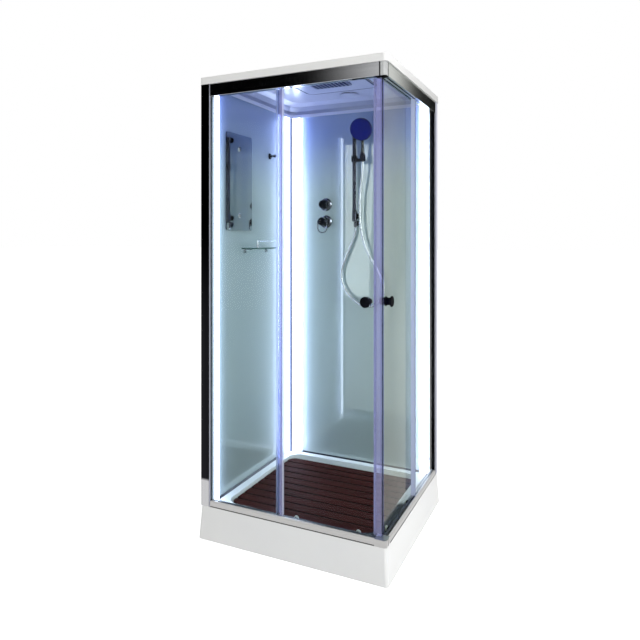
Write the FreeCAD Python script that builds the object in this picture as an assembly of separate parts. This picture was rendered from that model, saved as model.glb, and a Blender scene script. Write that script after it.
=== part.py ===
import FreeCAD, Part
import math
import os
from FreeCAD import Vector

# Square shower cabin with a corner entry. Millimetres, +X right, +Y back, +Z up.
# Origin: floor level, centre of the square plan. The doors are on the front (-Y) and the
# right (+X); the glass walls are on the left (-X) and the back (+Y). The frame is its own
# mirror image about the vertical plane through the entry corner and the back left corner.

# Driving dimensions
frame_side = 900.0          # outside of the metal frame
frame_top = 2127.0          # top of posts and head rails above the floor
tray_height = 155.0         # top of the tray rim
glass_thickness = 5.0       # safety glass of panes and doors
door_width = 456.0          # glass width of each sliding door
door_lap = 30.0             # how far a closed door laps its fixed pane
door_open_gap = 10.0        # back edge of an open door to the post

# Shared small values
skin = 2.0                  # wall of the aluminium profiles
lip = 1.5                   # thin lips and pocket walls of the profiles
overrun = 5.0               # how far a cutting tool passes a face
run_gap = 0.3               # gap between pieces that move past each other
bore_gap = 0.05             # radial clearance of a turning fit

# Tray and what it stands on
tray_flare = 10.0           # the skirt is this much wider at the floor, each side
tray_wall = 5.0
tray_corner = 14.0
skirt_gap = 2.0             # skirt edge above the floor
basin_half = 365.0          # half width of the basin at the rim
basin_draft = 5.0           # the basin is this much narrower at its floor, each side
basin_corner = 65.0
basin_floor = 100.0
drain_x = -135.0
drain_inset = 200.0         # drain axis from the frame's back face
drain_radius = 45.0
skirt_notch = 90.0          # pipe notch in the back skirt, width and height
support_tube = 25.0         # square tube of the support frame
support_wall = 2.0
support_offset = 325.0      # side tubes from the centre
foot_radius = 25.0
foot_pad = 12.0
foot_rod = 6.0              # radius of the threaded rod
foot_nut_radius = 10.0
foot_nut_height = 10.0

# Waste trap
trap_radius = 50.0
trap_bottom = 24.0
trap_neck_gap = 0.5
waste_radius = 20.0
waste_wall = 2.0
waste_height = 45.0         # axis of the waste outlet above the floor
waste_reach = 160.0         # outlet end behind the drain axis
waste_collar = 4.0          # collar behind the plain outlet, added to its radius
waste_spigot = 55.0         # plain length of the outlet
drain_cover_radius = 56.0
drain_cover_thickness = 3.0
drain_slot_width = 6.0
drain_slot_count = 5

# Duckboard
slat_count = 10
slat_width = 57.0
slat_gap = 11.0
slat_thickness = 18.0
slat_length = 722.0
slat_edge = 2.0             # rounding of the long edges
board_corner = 45.0
bearer_count = 3
bearer_width = 30.0
bearer_thickness = 14.0
bearer_reach = 270.0
pad_radius = 12.0
pad_row_offset = 250.0
pad_height = 8.0            # basin floor to bearer

# Frame profiles
rail_depth = 52.0
bottom_rail_height = 29.0
top_rail_height = 57.0
rail_slope = 7.0            # sloped top edge of the bottom rail
rail_edge = 1.2             # small bevel along the top rail
rail_corner = 12.0          # rounding of the corner connectors
corner_groove_start = 25.0  # groove in both faces of a connector, from the corner
corner_groove_width = 6.0
corner_groove_depth = 1.2
pane_offset = 13.0          # fixed pane centre from the outer face
pane_play = 1.0             # each side of a pane in its slot
pane_pocket = 18.0          # depth of the slots that hold the pane top and bottom
pane_bite = 9.0             # depth of the slot in the post
door_offset = 34.0          # door glass centre from the outer face
chamber_depth = 27.0        # closed chamber of the rails
rail_foot = 1.2             # how far the bottom rail is set back at its foot
rail_foot_height = 5.0
spigot_length = 20.0        # corner connector tongue inside a rail
spigot_gap = 0.3

# Door track and wheels
track_offset = 44.0         # wheel plane from the outer face
bead_width = 2.0            # upstanding bead that guides the wheels
bottom_bead = 9.0           # top of the bead above the tray rim
top_shelf = 6.0             # underside of the track shelf above the top rail's underside
top_bead = 12.0             # top of the bead above the top rail's underside
wheel_radius = 11.0
wheel_width = 7.0
wheel_groove_depth = 2.0
wheel_groove_width = 3.4
axle_radius = 3.0
axle_hole_gap = 0.5
axle_head_radius = 4.5
axle_head = 1.5
boss_radius = 8.0
cap_radius = 9.0
cap_thickness = 2.5
wheel_inset_back = 86.0     # wheel axis from the door's trailing edge
wheel_inset_front = 81.0    # wheel axis from the door's closing edge
glass_below_wheel = 14.0    # door glass past the wheel axis, below and above
door_corner_gap = 2.0       # closing edge of the glass to the corner connector
stop_length = 12.0
stop_height = 18.0

# Seals
seal_skin = 1.2
seal_grip = 10.0            # how far a seal laps onto the glass
seal_cap = 2.0
seal_end_gap = 2.0          # seal ends to the rails
fin_gap = 2.5               # fin tip to the neighbouring glass
magnet_half = 5.5           # half thickness of the closing seal's nose

# Door knobs
knob_height = 1145.0
knob_inset = 38.0           # from the closing edge of the glass
knob_disc_radius = 23.0
knob_disc_thickness = 8.0
knob_neck_radius = 16.0
knob_base_radius = 20.5     # flange against the glass
knob_base_thickness = 5.0
knob_neck_length = 22.0
knob_inner_length = 20.0
knob_bolt_radius = 4.0
knob_bolt_bite = 10.0
knob_hole_gap = 0.8
knob_edge = 2.0

# Posts
post_width = 50.0
post_box_depth = 35.0       # closed box at the front of a wall post
post_face = 43.0            # outer part of a wall post's front face
post_step = 3.0             # how far the rest of that face is set back
light_channel = 45.0        # width of the lit face
diffuser_thickness = 2.0
diffuser_recess = 2.0       # diffuser face below the post's inner face
diffuser_ledge = 3.0
tape_plate_offset = 28.0    # plate that carries the light tape, from the outer face
tape_width = 10.0
tape_thickness = 1.5
tape_end_gap = 12.0
corner_box = 48.0           # closed box of the back left post
corner_nose = 64.0          # inner nose of that post from the outer faces
nose_chamfer = 3.0

# Glass walls
wall_offset = 27.0          # painted back of the glass from the outer face
wall_glass = 5.0
wall_play = 0.5
wall_pocket = 12.0
wall_end_gap = 2.0
wall_top_gap = 1.0
bead_depth = 13.0           # dark sealing strip along the foot of the walls
bead_height = 5.0
head_rail_gap = 0.3

# Roof
roof_overhang = 6.0
roof_rim_height = 33.0
roof_corner = 18.0
roof_wall = 3.5
rim_inner_half = 393.0      # inside of the ceiling's rim band
rim_drop = 18.0             # band below the frame's top
rim_band = 16.0             # band above the frame's top
rim_draft = 3.0
rim_step = 5.0              # ledge of the rim band
rim_ledge = 2.0             # that ledge below the frame's top
band_corner = 40.0
cove_rise = 22.0            # band to the middle of the cove
cove_draft = 18.0
cove_corner = 54.0
dome_rise = 37.0            # band to ceiling
dome_draft = 52.0
dome_corner = 80.0
panel_x, panel_y = 27.0, -39.0
panel_side = 394.0          # raised square panel of the ceiling
panel_thickness = 6.0
panel_corner = 45.0

# Rain head
rain_x, rain_y = 27.0, -66.0
rain_side = 196.0
rain_thickness = 12.0
rain_corner = 12.0
rain_play = 0.5
rain_stem_radius = 10.0
rain_stem_gap = 1.0
rain_stem_length = 16.0     # above the roof
nozzle_count = 9
nozzle_pitch = 20.0
nozzle_radius = 6.5
nozzle_height = 1.5
pipe_radius = 8.0
pipe_wall = 1.5
pipe_bend = 30.0
pipe_lift = 28.0            # horizontal run above the roof's top
pipe_x = -194.0
pipe_offset = 13.0          # pipe axis from the frame's outer face
pipe_hole_gap = 1.5

# Fan and power unit on the roof
fan_x, fan_y = 27.0, 250.0
fan_tube_radius = 49.0
fan_tube_wall = 3.0
fan_tube_height = 46.0
fan_flange_radius = 60.0
fan_flange = 3.0
fan_hub_radius = 18.0
fan_blade_count = 5
fan_blade_thickness = 2.0
fan_blade_height = 14.0
fan_blade_pitch = 35.0      # degrees
fan_tip_gap = 2.0
fan_motor_radius = 17.0
fan_motor_height = 16.0
fan_spoke_width = 5.0
fan_shaft_radius = 2.5
cover_radius = 53.0
cover_thickness = 5.0
cover_leg = 5.0
cover_leg_radius = 2.5
cover_leg_count = 3
unit_length, unit_width, unit_height = 130.0, 65.0, 36.0
unit_x, unit_y = -210.0, -190.0
unit_corner = 6.0
gland_radius = 7.0
gland_length = 14.0

# Mirror, hook and shelf on the left wall
mirror_y = -170.0
mirror_width = 246.0
mirror_bottom = 1447.0
mirror_height = 486.0
mirror_glass = 5.0
mirror_corner = 10.0
mirror_standoff = 6.0
mirror_cap_radius = 13.0
mirror_cap = 5.0
mirror_cap_inset = 74.0
mirror_bolt_radius = 3.0
mirror_bolt_gap = 0.5
hook_y, hook_z = 172.0, 1863.0
hook_plate_radius = 17.0
hook_plate = 5.0
hook_stem_radius = 5.0
hook_reach = 34.0
hook_head_radius = 9.0
hook_head = 7.0
shelf_z = 1352.0            # underside of the shelf glass
shelf_start = -138.0
shelf_length = 298.0
shelf_depth = 100.0
shelf_glass = 6.0
shelf_corner = 8.0
guard_rise = 34.0
guard_radius = 3.0
guard_post_radius = 4.0
guard_inset = 7.0
bracket_inset = 34.0
bracket_width = 18.0
bracket_reach = 38.0
bracket_jaw = 5.0
bracket_plate = 6.0
bracket_drop = 22.0

# Mixer valve in the back wall
valve_x = -182.0
mixer_z = 1501.0
diverter_z = 1600.0
valve_width = 40.0
valve_depth = 25.0
valve_margin = 34.0
inlet_spacing = 44.0
inlet_radius = 10.48        # half inch pipe thread
inlet_length = 18.0
inlet_margin = 14.0         # inlet axis to the top and bottom of its block
inlet_block = 10.0          # depth of that block
sleeve_radius = 16.0
sleeve_reach = 13.0         # out of the wall glass
sleeve_gap = 2.0
rosette_radius = 37.0
rosette_thickness = 10.0
rosette_edge = 2.0
control_radius = 24.0
diverter_length = 42.0
mixer_length = 54.0
control_edge = 3.0
stem_radius = 5.0
stem_length = 14.0
mark_width = 2.0            # groove across the diverter's face
mark_depth = 1.2
lever_pin_radius = 2.5
lever_pin_length = 5.5
lever_boss_radius = 6.0
lever_boss_length = 5.0
lever_rod_radius = 3.0
lever_drop = 36.0
lever_axis_share = 0.75     # place of the lever pins along the cap

# Slide bar, hose outlet and hand shower
bar_x = 6.0
bar_offset = 38.0           # bar axis from the wall
bar_radius = 11.0
bar_wall = 1.5
bar_bottom = 1500.0
bar_top = 2030.0
foot_ring_radius = 13.5
lower_foot = 60.0           # height of the sleeve at each end of the bar
upper_foot = 30.0
foot_arm_radius = 9.0
foot_rosette_radius = 17.0
foot_rosette = 5.0
outlet_z = 1490.0
outlet_reach = 20.0
outlet_drop = 21.0
outlet_radius = 9.5
outlet_rosette_radius = 16.0
outlet_rosette = 4.0
slider_z = 1848.0
slider_radius = 17.0
slider_height = 34.0
slider_arm = 20.0
slider_arm_end = 30.0       # arm end beside the bar axis
holder_side = 56.0          # hand shower axis beside the bar axis
holder_forward = 22.0       # in front of the bar axis
holder_boss_radius = 9.0
holder_radius = 16.0
holder_play = 0.1
holder_drop = 10.0          # tilt axis below the slider's middle
holder_below = 8.0
holder_above = 28.0
holder_wall = 3.4
hand_lean = 2.0             # degrees from upright
hand_nut_below = 9.0
hand_handle_radius = 10.5
hand_neck_radius = 7.0
hand_length = 105.0         # pivot to the head's edge
hand_neck_bite = 5.0
head_radius = 62.5
head_thickness = 16.0
head_edge = 5.0
head_tilt = 20.0            # degrees that the face looks down
face_radius = 57.0
face_thickness = 3.0
face_nozzle_rings = 3
face_ring_pitch = 12.0
face_nozzle_pitch = 9.0
face_nozzle_radius = 1.6
face_nozzle_height = 1.2

# Chrome hose, from the wall outlet to the hand shower
hose_radius = 7.0
hose_swing = 165.0          # how far the loop swings to the side of the slide bar
hose_drop = 442.0           # the loop's lowest corner below the outlet
hose_exit = 40.0            # first straight run, under the outlet
hose_entry = 36.0           # last straight run, under the hand shower
hose_run_share = 0.45
# corners of the route as shares of hose_swing to the side, outlet_reach from the wall and
# hose_drop below the outlet
hose_corner_shares = [
    (-0.158, 1.05, 0.224), (-0.352, 1.125, 0.396), (-0.533, 1.2, 0.572), (-0.448, 1.25, 0.758),
    (-0.133, 1.3, 0.907), (0.291, 1.35, 1.0), (0.703, 1.4, 0.989), (1.0, 1.475, 0.857),
    (0.982, 1.55, 0.686), (0.764, 1.625, 0.509), (0.461, 1.75, 0.330), (0.285, 1.9, 0.138),
    (0.212, 2.1, -0.048), (0.194, 2.25, -0.240), (0.224, 2.4, -0.432), (0.297, 2.55, -0.609),
]

# Values that follow from the sizes above
half = frame_side / 2
rim_z = tray_height
top_rail_z = frame_top - top_rail_height
slot_out = pane_offset - glass_thickness / 2 - pane_play
slot_in = pane_offset + glass_thickness / 2 + pane_play
wall_face = half - wall_offset - wall_glass
drain_y = half - drain_inset
post_end = post_box_depth + light_channel + skin
post_full = post_end + wall_pocket
corner_end = corner_nose + light_channel + skin
corner_full = corner_end + wall_pocket
pane_y = -half + pane_offset
door_y = -half + door_offset
track_y = -half + track_offset
door_x1 = half - rail_depth - door_corner_gap
door_x0 = door_x1 - door_width
door_travel = door_x0 + half - post_width - door_open_gap
pane_x0 = -half + post_width - pane_bite
pane_x1 = door_x0 + door_lap
wheel_roll = wheel_radius - wheel_groove_depth + run_gap
bottom_wheel_z = rim_z + bottom_bead + wheel_roll
top_wheel_z = top_rail_z + top_bead + wheel_roll
door_z0 = bottom_wheel_z - glass_below_wheel
door_z1 = top_wheel_z + glass_below_wheel
seal_z0 = rim_z + bottom_rail_height + seal_end_gap
seal_z1 = top_rail_z - seal_end_gap
knob_x = door_x1 - knob_inset
wheel_places = [door_x0 + wheel_inset_back, door_x1 - wheel_inset_front]
ceiling_z = frame_top + rim_band + dome_rise
roof_top = ceiling_z + roof_wall
board_top = basin_floor + pad_height + bearer_thickness + slat_thickness
bar_y = wall_face - bar_offset
holder_x = bar_x + holder_side
holder_y = bar_y - holder_forward
arm_end_x = bar_x + slider_arm_end
pivot_z = slider_z - holder_drop
shelf_out = -wall_face + shelf_depth
X_AXIS, Y_AXIS, Z_AXIS = Vector(1, 0, 0), Vector(0, 1, 0), Vector(0, 0, 1)


# Shape helpers
def block(x0, x1, y0, y1, z0, z1):
    return Part.makeBox(x1 - x0, y1 - y0, z1 - z0, Vector(x0, y0, z0))


def rod(radius, start, axis, length):
    return Part.makeCylinder(radius, length, start, axis)


def sleeve(outer, inner, start, axis, length):
    bore_start = start - axis * overrun
    return rod(outer, start, axis, length).cut(rod(inner, bore_start, axis, length + 2 * overrun))


def joined(shapes):
    return shapes[0].fuse(shapes[1:]).removeSplitter()


def square_wire(half_x, half_y, corner, z, x=0.0, y=0.0):
    """closed outline of a rectangle with round corners, level at height z"""
    centres = [(half_x, half_y), (-half_x, half_y), (-half_x, -half_y), (half_x, -half_y)]
    edges = []
    last = None
    first = None
    for index, (cx, cy) in enumerate(centres):
        centre = Vector(x + cx - math.copysign(corner, cx), y + cy - math.copysign(corner, cy), z)
        quarter = []
        for step in (0.0, 0.5, 1.0):
            angle = math.pi / 2 * (index + step)
            quarter.append(centre + Vector(math.cos(angle), math.sin(angle), 0) * corner)
        if last is not None:
            edges.append(Part.LineSegment(last, quarter[0]).toShape())
        else:
            first = quarter[0]
        edges.append(Part.Arc(*quarter).toShape())
        last = quarter[2]
    edges.append(Part.LineSegment(last, first).toShape())
    return Part.Wire(edges)


def square_loft(low, high, x=0.0, y=0.0):
    """solid between two rounded rectangles, each (half_x, half_y, corner, z)"""
    return Part.makeLoft([square_wire(*low, x, y), square_wire(*high, x, y)], True, True)


def square_slab(half_x, half_y, corner, z0, z1, x=0.0, y=0.0):
    return square_loft((half_x, half_y, corner, z0), (half_x, half_y, corner, z1), x, y)


def turned(outline, origin, axis):
    """solid of revolution: outline is (radius, distance along the axis) from the axis outwards"""
    points = [Vector(r, 0, h) for r, h in outline]
    face = Part.Face(Part.makePolygon(points + [points[0]]))
    solid = face.revolve(Vector(0, 0, 0), Z_AXIS, 360)
    turn = FreeCAD.Rotation(Z_AXIS, axis)
    solid.Placement = FreeCAD.Placement(origin, turn)
    return solid


def rounded_path(points, radii):
    """straight runs joined by tangent arcs, one radius for each inner point"""
    edges = []
    start = points[0]
    for index in range(1, len(points) - 1):
        here = points[index]
        back = (points[index - 1] - here).normalize()
        ahead = (points[index + 1] - here).normalize()
        turn = math.pi - back.getAngle(ahead)
        reach = radii[index - 1] * math.tan(turn / 2)
        arc_start, arc_end = here + back * reach, here + ahead * reach
        middle = (back + ahead).normalize()
        centre = here + middle * (radii[index - 1] / math.cos(turn / 2))
        arc_middle = centre - middle * radii[index - 1]
        edges.append(Part.LineSegment(start, arc_start).toShape())
        edges.append(Part.Arc(arc_start, arc_middle, arc_end).toShape())
        start = arc_end
    edges.append(Part.LineSegment(start, points[-1]).toShape())
    return Part.Wire(edges)


def swept(path, radius):
    start = path.Edges[0].firstVertex().Point
    tangent = path.Edges[0].tangentAt(path.Edges[0].FirstParameter)
    ring = Part.Wire([Part.makeCircle(radius, start, tangent)])
    return path.makePipeShell([ring], True, False)


def to_right(shape):
    """the front's piece as its mirror image on the right, about the entry diagonal"""
    return shape.mirror(Vector(0, 0, 0), Vector(1, 1, 0))


def front_and_right(name, shape):
    return {name + "_front": shape, name + "_right": to_right(shape)}


def group(shapes):
    return Part.makeCompound(shapes)


# Tray
def tray():
    bottom = half + tray_flare
    outer = square_loft((bottom, bottom, tray_corner, skirt_gap), (half, half, tray_corner, rim_z))
    hollow = square_loft((bottom - tray_wall, bottom - tray_wall, tray_corner - tray_wall, skirt_gap),
                         (half - tray_wall, half - tray_wall, tray_corner - tray_wall, rim_z))
    keep_rim = block(-bottom, bottom, -bottom, bottom, rim_z - tray_wall, rim_z + overrun)
    shell = outer.cut(hollow.cut(keep_rim))
    floor_half = basin_half - basin_draft
    pan = square_loft((floor_half + tray_wall, floor_half + tray_wall, basin_corner, basin_floor - tray_wall),
                      (basin_half + tray_wall, basin_half + tray_wall, basin_corner, rim_z))
    basin = square_loft((floor_half, floor_half, basin_corner - tray_wall, basin_floor),
                        (basin_half, basin_half, basin_corner - tray_wall, rim_z))
    shell = joined([shell, pan]).cut(basin)
    drain = rod(drain_radius, Vector(drain_x, drain_y, 0), Z_AXIS, rim_z)
    notch = block(drain_x - skirt_notch / 2, drain_x + skirt_notch / 2, half - tray_wall - overrun,
                  half + tray_flare + overrun, -overrun, skirt_notch)
    return shell.cut(drain).cut(notch)


def support_frame():
    top = basin_floor - tray_wall
    low = top - support_tube
    width = support_tube / 2
    inner = width - support_wall

    def square_tube(x0, x1, y0, y1, along_x):
        outer = block(x0, x1, y0, y1, low, top)
        if along_x:
            middle = (y0 + y1) / 2
            hole = block(x0 - overrun, x1 + overrun, middle - inner, middle + inner,
                         low + support_wall, top - support_wall)
        else:
            middle = (x0 + x1) / 2
            hole = block(middle - inner, middle + inner, y0 - overrun, y1 + overrun,
                         low + support_wall, top - support_wall)
        return outer.cut(hole)

    reach = support_offset + width
    tubes = []
    for x in (-support_offset, 0, support_offset):
        tubes.append(square_tube(x - width, x + width, -reach, reach, False))
    for y in (-support_offset, 0, support_offset):
        tubes.append(square_tube(-support_offset + width, -width, y - width, y + width, True))
        tubes.append(square_tube(width, support_offset - width, y - width, y + width, True))
    return group(tubes)


def feet():
    top = basin_floor - tray_wall - support_tube
    pads, rods = [], []
    places = [(0, 0)]
    for x in (-support_offset, support_offset):
        for y in (-support_offset, support_offset):
            places.append((x, y))
    for x, y in places:
        base = Vector(x, y, 0)
        pads.append(turned([(0, 0), (foot_radius, 0), (foot_radius, foot_pad / 2),
                            (foot_nut_radius, foot_pad), (0, foot_pad)], base, Z_AXIS))
        screw = rod(foot_rod, base + Z_AXIS * foot_pad, Z_AXIS, top - foot_pad)
        nut_wire = Part.makePolygon([base + Vector(foot_nut_radius * math.cos(math.pi / 3 * k),
                                                   foot_nut_radius * math.sin(math.pi / 3 * k),
                                                   top - foot_nut_height) for k in range(7)])
        nut = Part.Face(nut_wire).extrude(Z_AXIS * foot_nut_height)
        rods.append(joined([screw, nut]))
    return group(pads + rods)


def waste():
    axis = Vector(drain_x, drain_y, 0)
    body_top = basin_floor - tray_wall
    body = rod(trap_radius, axis + Z_AXIS * trap_bottom, Z_AXIS, body_top - trap_bottom)
    neck_radius = drain_radius - trap_neck_gap
    neck = rod(neck_radius, axis + Z_AXIS * body_top, Z_AXIS, tray_wall)
    outlet_start = Vector(drain_x, drain_y, waste_height)
    outlet = rod(waste_radius, outlet_start, Y_AXIS, waste_reach)
    collar = rod(waste_radius + waste_collar, outlet_start, Y_AXIS, waste_reach - waste_spigot)
    hollow = rod(trap_radius - 2 * waste_wall, axis + Z_AXIS * (trap_bottom + waste_wall), Z_AXIS,
                 body_top - trap_bottom - 2 * waste_wall)
    mouth = rod(neck_radius - 2 * waste_wall, axis + Z_AXIS * (body_top - overrun), Z_AXIS,
                tray_wall + 2 * overrun)
    bore = rod(waste_radius - waste_wall, outlet_start, Y_AXIS, waste_reach + overrun)
    trap = joined([body, neck, outlet, collar]).cut(hollow).cut(mouth).cut(bore)
    cover = rod(drain_cover_radius, axis + Z_AXIS * basin_floor, Z_AXIS, drain_cover_thickness)
    pitch = 2 * drain_radius / (drain_slot_count + 1)
    for k in range(drain_slot_count):
        x = drain_x - drain_radius + pitch * (k + 1)
        chord = math.sqrt(max(drain_radius ** 2 - (x - drain_x) ** 2, 0)) - drain_slot_width
        slot = block(x - drain_slot_width / 2, x + drain_slot_width / 2, drain_y - chord, drain_y + chord,
                     basin_floor - overrun, basin_floor + drain_cover_thickness + overrun)
        cover = cover.cut(slot)
    return group([trap, cover])


def duckboard():
    pitch = slat_width + slat_gap
    depth = pitch * slat_count - slat_gap
    slat_z = board_top - slat_thickness
    outline = square_slab(slat_length / 2, depth / 2, board_corner, slat_z - overrun, board_top + overrun)
    slats = []
    for k in range(slat_count):
        y0 = -depth / 2 + pitch * k
        slat = block(-slat_length / 2, slat_length / 2, y0, y0 + slat_width, slat_z, board_top)
        long_edges = [e for e in slat.Edges if abs(e.tangentAt(e.FirstParameter).x) > 0.5]
        slats.append(slat.makeFillet(slat_edge, long_edges).common(outline))
    bearers, pads = [], []
    bearer_z = slat_z - bearer_thickness
    reach = depth / 2 - slat_width / 2
    for k in range(bearer_count):
        x = bearer_reach * (2 * k / (bearer_count - 1) - 1)
        bearers.append(block(x - bearer_width / 2, x + bearer_width / 2, -reach, reach, bearer_z, slat_z))
        for y in (-pad_row_offset, 0, pad_row_offset):
            pads.append(rod(pad_radius, Vector(x, y, basin_floor), Z_AXIS, pad_height))
    return {"duckboard_slats": group(slats), "duckboard_bearers": group(bearers + pads)}


# Rails. A rail section is a list of rectangles (u0, v0, u1, v1): u from the frame's outer
# face inwards, v upwards from the rail's underside.
def front_profile(rects, x0, x1, z):
    return joined([block(x0, x1, -half + u0, -half + u1, z + v0, z + v1) for u0, v0, u1, v1 in rects])


def bottom_rail():
    height = bottom_rail_height
    floor = height - pane_pocket
    rects = [
        (0, 0, rail_depth, skin),
        (slot_out - lip, floor, slot_out, height),
        (slot_out - lip, floor, slot_in + lip, floor + lip),
        (slot_in, floor, slot_in + lip, height),
        (slot_in, height - skin, chamber_depth, height),
        (chamber_depth - skin, 0, chamber_depth, height),
        (track_offset - bead_width / 2, 0, track_offset + bead_width / 2, bottom_bead),
    ]
    x0, x1 = -half + post_width, half - rail_depth
    shoulder, under = height - rail_slope, skin * math.tan(math.pi / 8)
    face = [(0, 0), (0, shoulder), (rail_slope, height), (slot_out, height), (slot_out, height - skin),
            (rail_slope + under, height - skin), (skin, shoulder - under), (skin, 0), (0, 0)]
    outline = Part.makePolygon([Vector(x0, -half + u, rim_z + v) for u, v in face])
    rail = joined([front_profile(rects, x0, x1, rim_z), Part.Face(outline).extrude(X_AXIS * (x1 - x0))])
    foot = block(x0 - overrun, x1 + overrun, -half - overrun, -half + rail_foot, rim_z - overrun,
                 rim_z + rail_foot_height)
    return rail.cut(foot)


def door_stops():
    """blocks on the top track that end the door's travel"""
    z = top_rail_z + top_shelf + skin
    y0 = track_y + bead_width / 2
    y1 = -half + rail_depth - skin
    open_x = wheel_places[0] - door_travel - wheel_radius - run_gap
    shut_x = wheel_places[1] + wheel_radius + run_gap
    return [block(open_x - stop_length, open_x, y0, y1, z, z + stop_height),
            block(shut_x, shut_x + stop_length, y0, y1, z, z + stop_height)]


def top_rail():
    height = top_rail_height
    shelf_in = track_offset - bead_width / 2
    rects = [
        (0, 0, skin, height),
        (0, height - skin, rail_depth, height),
        (0, 0, slot_out, skin),
        (slot_out - lip, 0, slot_out, pane_pocket),
        (slot_out - lip, pane_pocket - lip, slot_in + lip, pane_pocket),
        (slot_in, 0, slot_in + lip, pane_pocket),
        (slot_in, 0, chamber_depth, skin),
        (chamber_depth - skin, 0, chamber_depth, height),
        (rail_depth - skin, top_shelf, rail_depth, height),
        (shelf_in, top_shelf, rail_depth, top_shelf + skin),
        (shelf_in, top_shelf, shelf_in + bead_width, top_bead),
    ]
    rail = front_profile(rects, -half + post_width, half - rail_depth, top_rail_z)
    outer_edges = [e for e in rail.Edges
                   if abs(e.tangentAt(e.FirstParameter).x) > 0.5 and e.CenterOfMass.y < -half + lip]
    return joined([rail.makeChamfer(rail_edge, outer_edges)] + door_stops())


def rounded_corner(shape, radius):
    """the same block with its upright edge at the entry corner rounded"""
    box = shape.BoundBox
    corner_edges = [e for e in shape.Edges
                    if abs(e.tangentAt(e.FirstParameter).z) > 0.5 and e.CenterOfMass.x > box.XMax - lip
                    and e.CenterOfMass.y < box.YMin + lip]
    return shape.makeFillet(radius, corner_edges)


def corner_connector(z, height, spigot_low, spigot_high, open_below):
    """square hollow block at the entry corner with a tongue into each rail"""
    edge = half - rail_depth
    outer = rounded_corner(block(edge, half, -half, -edge, z, z + height), rail_corner)
    groove_end = half - corner_groove_start
    groove = block(groove_end - corner_groove_width, groove_end, -half - overrun,
                   -half + corner_groove_depth, z - overrun, z + height + overrun)
    outer = outer.cut(groove).cut(to_right(groove))
    low = z - overrun if open_below else z + skin
    hollow = rounded_corner(block(edge + skin, half - skin, -half + skin, -edge - skin, low,
                                  z + height - skin), rail_corner - skin)
    tongue_y0, tongue_y1 = -half + skin + spigot_gap, -half + slot_out - lip - spigot_gap
    tongue = block(edge - spigot_length, edge, tongue_y0, tongue_y1, z + spigot_low, z + spigot_high)
    return joined([outer.cut(hollow), tongue, to_right(tongue)])


def corner_connectors():
    bottom = corner_connector(rim_z, bottom_rail_height, skin + spigot_gap,
                              bottom_rail_height - rail_slope - skin - spigot_gap, False)
    top = corner_connector(top_rail_z, top_rail_height, skin + spigot_gap,
                           top_rail_height - skin - spigot_gap, True)
    return {"bottom_rail_corner": bottom, "top_rail_corner": top}


# Posts. A post section is a list of rectangles (p0, q0, p1, q1): p from the wall's outer
# face inwards, q from the post's end face along the wall.
def wall_side_rects(end):
    """lips behind the diffuser and the pocket that holds the wall glass"""
    plate = tape_plate_offset
    first = end - skin - light_channel
    glass_out = wall_offset - wall_play
    glass_in = wall_offset + wall_glass + wall_play
    return [
        (plate, first - skin, plate + skin, end),
        (0, end - skin, glass_in + lip, end),
        (glass_out - lip, end - skin, glass_out, end + wall_pocket),
        (glass_in, end - skin, glass_in + lip, end + wall_pocket),
    ]


def wall_post():
    """post at the front end of the left wall; its mirror image ends the back wall"""
    box = post_box_depth
    pocket = post_width - pane_bite
    back = post_width - diffuser_recess - diffuser_thickness
    rects = [
        (0, 0, post_face, skin),
        (post_face - skin, 0, post_face, post_step + skin),
        (post_face - skin, post_step, post_width, post_step + skin),
        (0, 0, skin, post_full),
        (post_width - skin, post_step, post_width, slot_out),
        (post_width - skin, slot_in, post_width, box),
        (pocket - lip, slot_out - lip, post_width, slot_out),
        (pocket - lip, slot_in, post_width, slot_in + lip),
        (pocket - lip, slot_out - lip, pocket, slot_in + lip),
        (0, box - skin, post_width, box),
        (back - lip, box - skin, back, box + diffuser_ledge),
    ] + wall_side_rects(post_end)
    return joined([block(-half + p0, -half + p1, -half + q0, -half + q1, rim_z, frame_top)
                   for p0, q0, p1, q1 in rects])


def corner_post():
    box, nose = corner_box, corner_nose
    back = post_width - diffuser_recess - diffuser_thickness
    one_leg = [
        (0, 0, skin, corner_full),
        (0, box - skin, box, box),
        (box - skin, nose - skin, nose, nose),
        (box - skin, box - skin, nose, box),
        (back - lip, nose - skin, back, nose + diffuser_ledge),
    ] + wall_side_rects(corner_end)
    first = corner_end - skin - light_channel
    one_leg.append((tape_plate_offset, box - skin, tape_plate_offset + skin, first))
    both = one_leg + [(q0, p0, q1, p1) for p0, q0, p1, q1 in one_leg]
    post = joined([block(-half + p0, -half + p1, half - q1, half - q0, rim_z, frame_top)
                   for p0, q0, p1, q1 in both])
    tip = Vector(-half + nose, half - nose, rim_z)
    corner = Part.makePolygon([tip, tip + Vector(-nose_chamfer, 0, 0), tip + Vector(0, nose_chamfer, 0), tip])
    return post.cut(Part.Face(corner).extrude(Z_AXIS * (frame_top - rim_z)))


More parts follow.
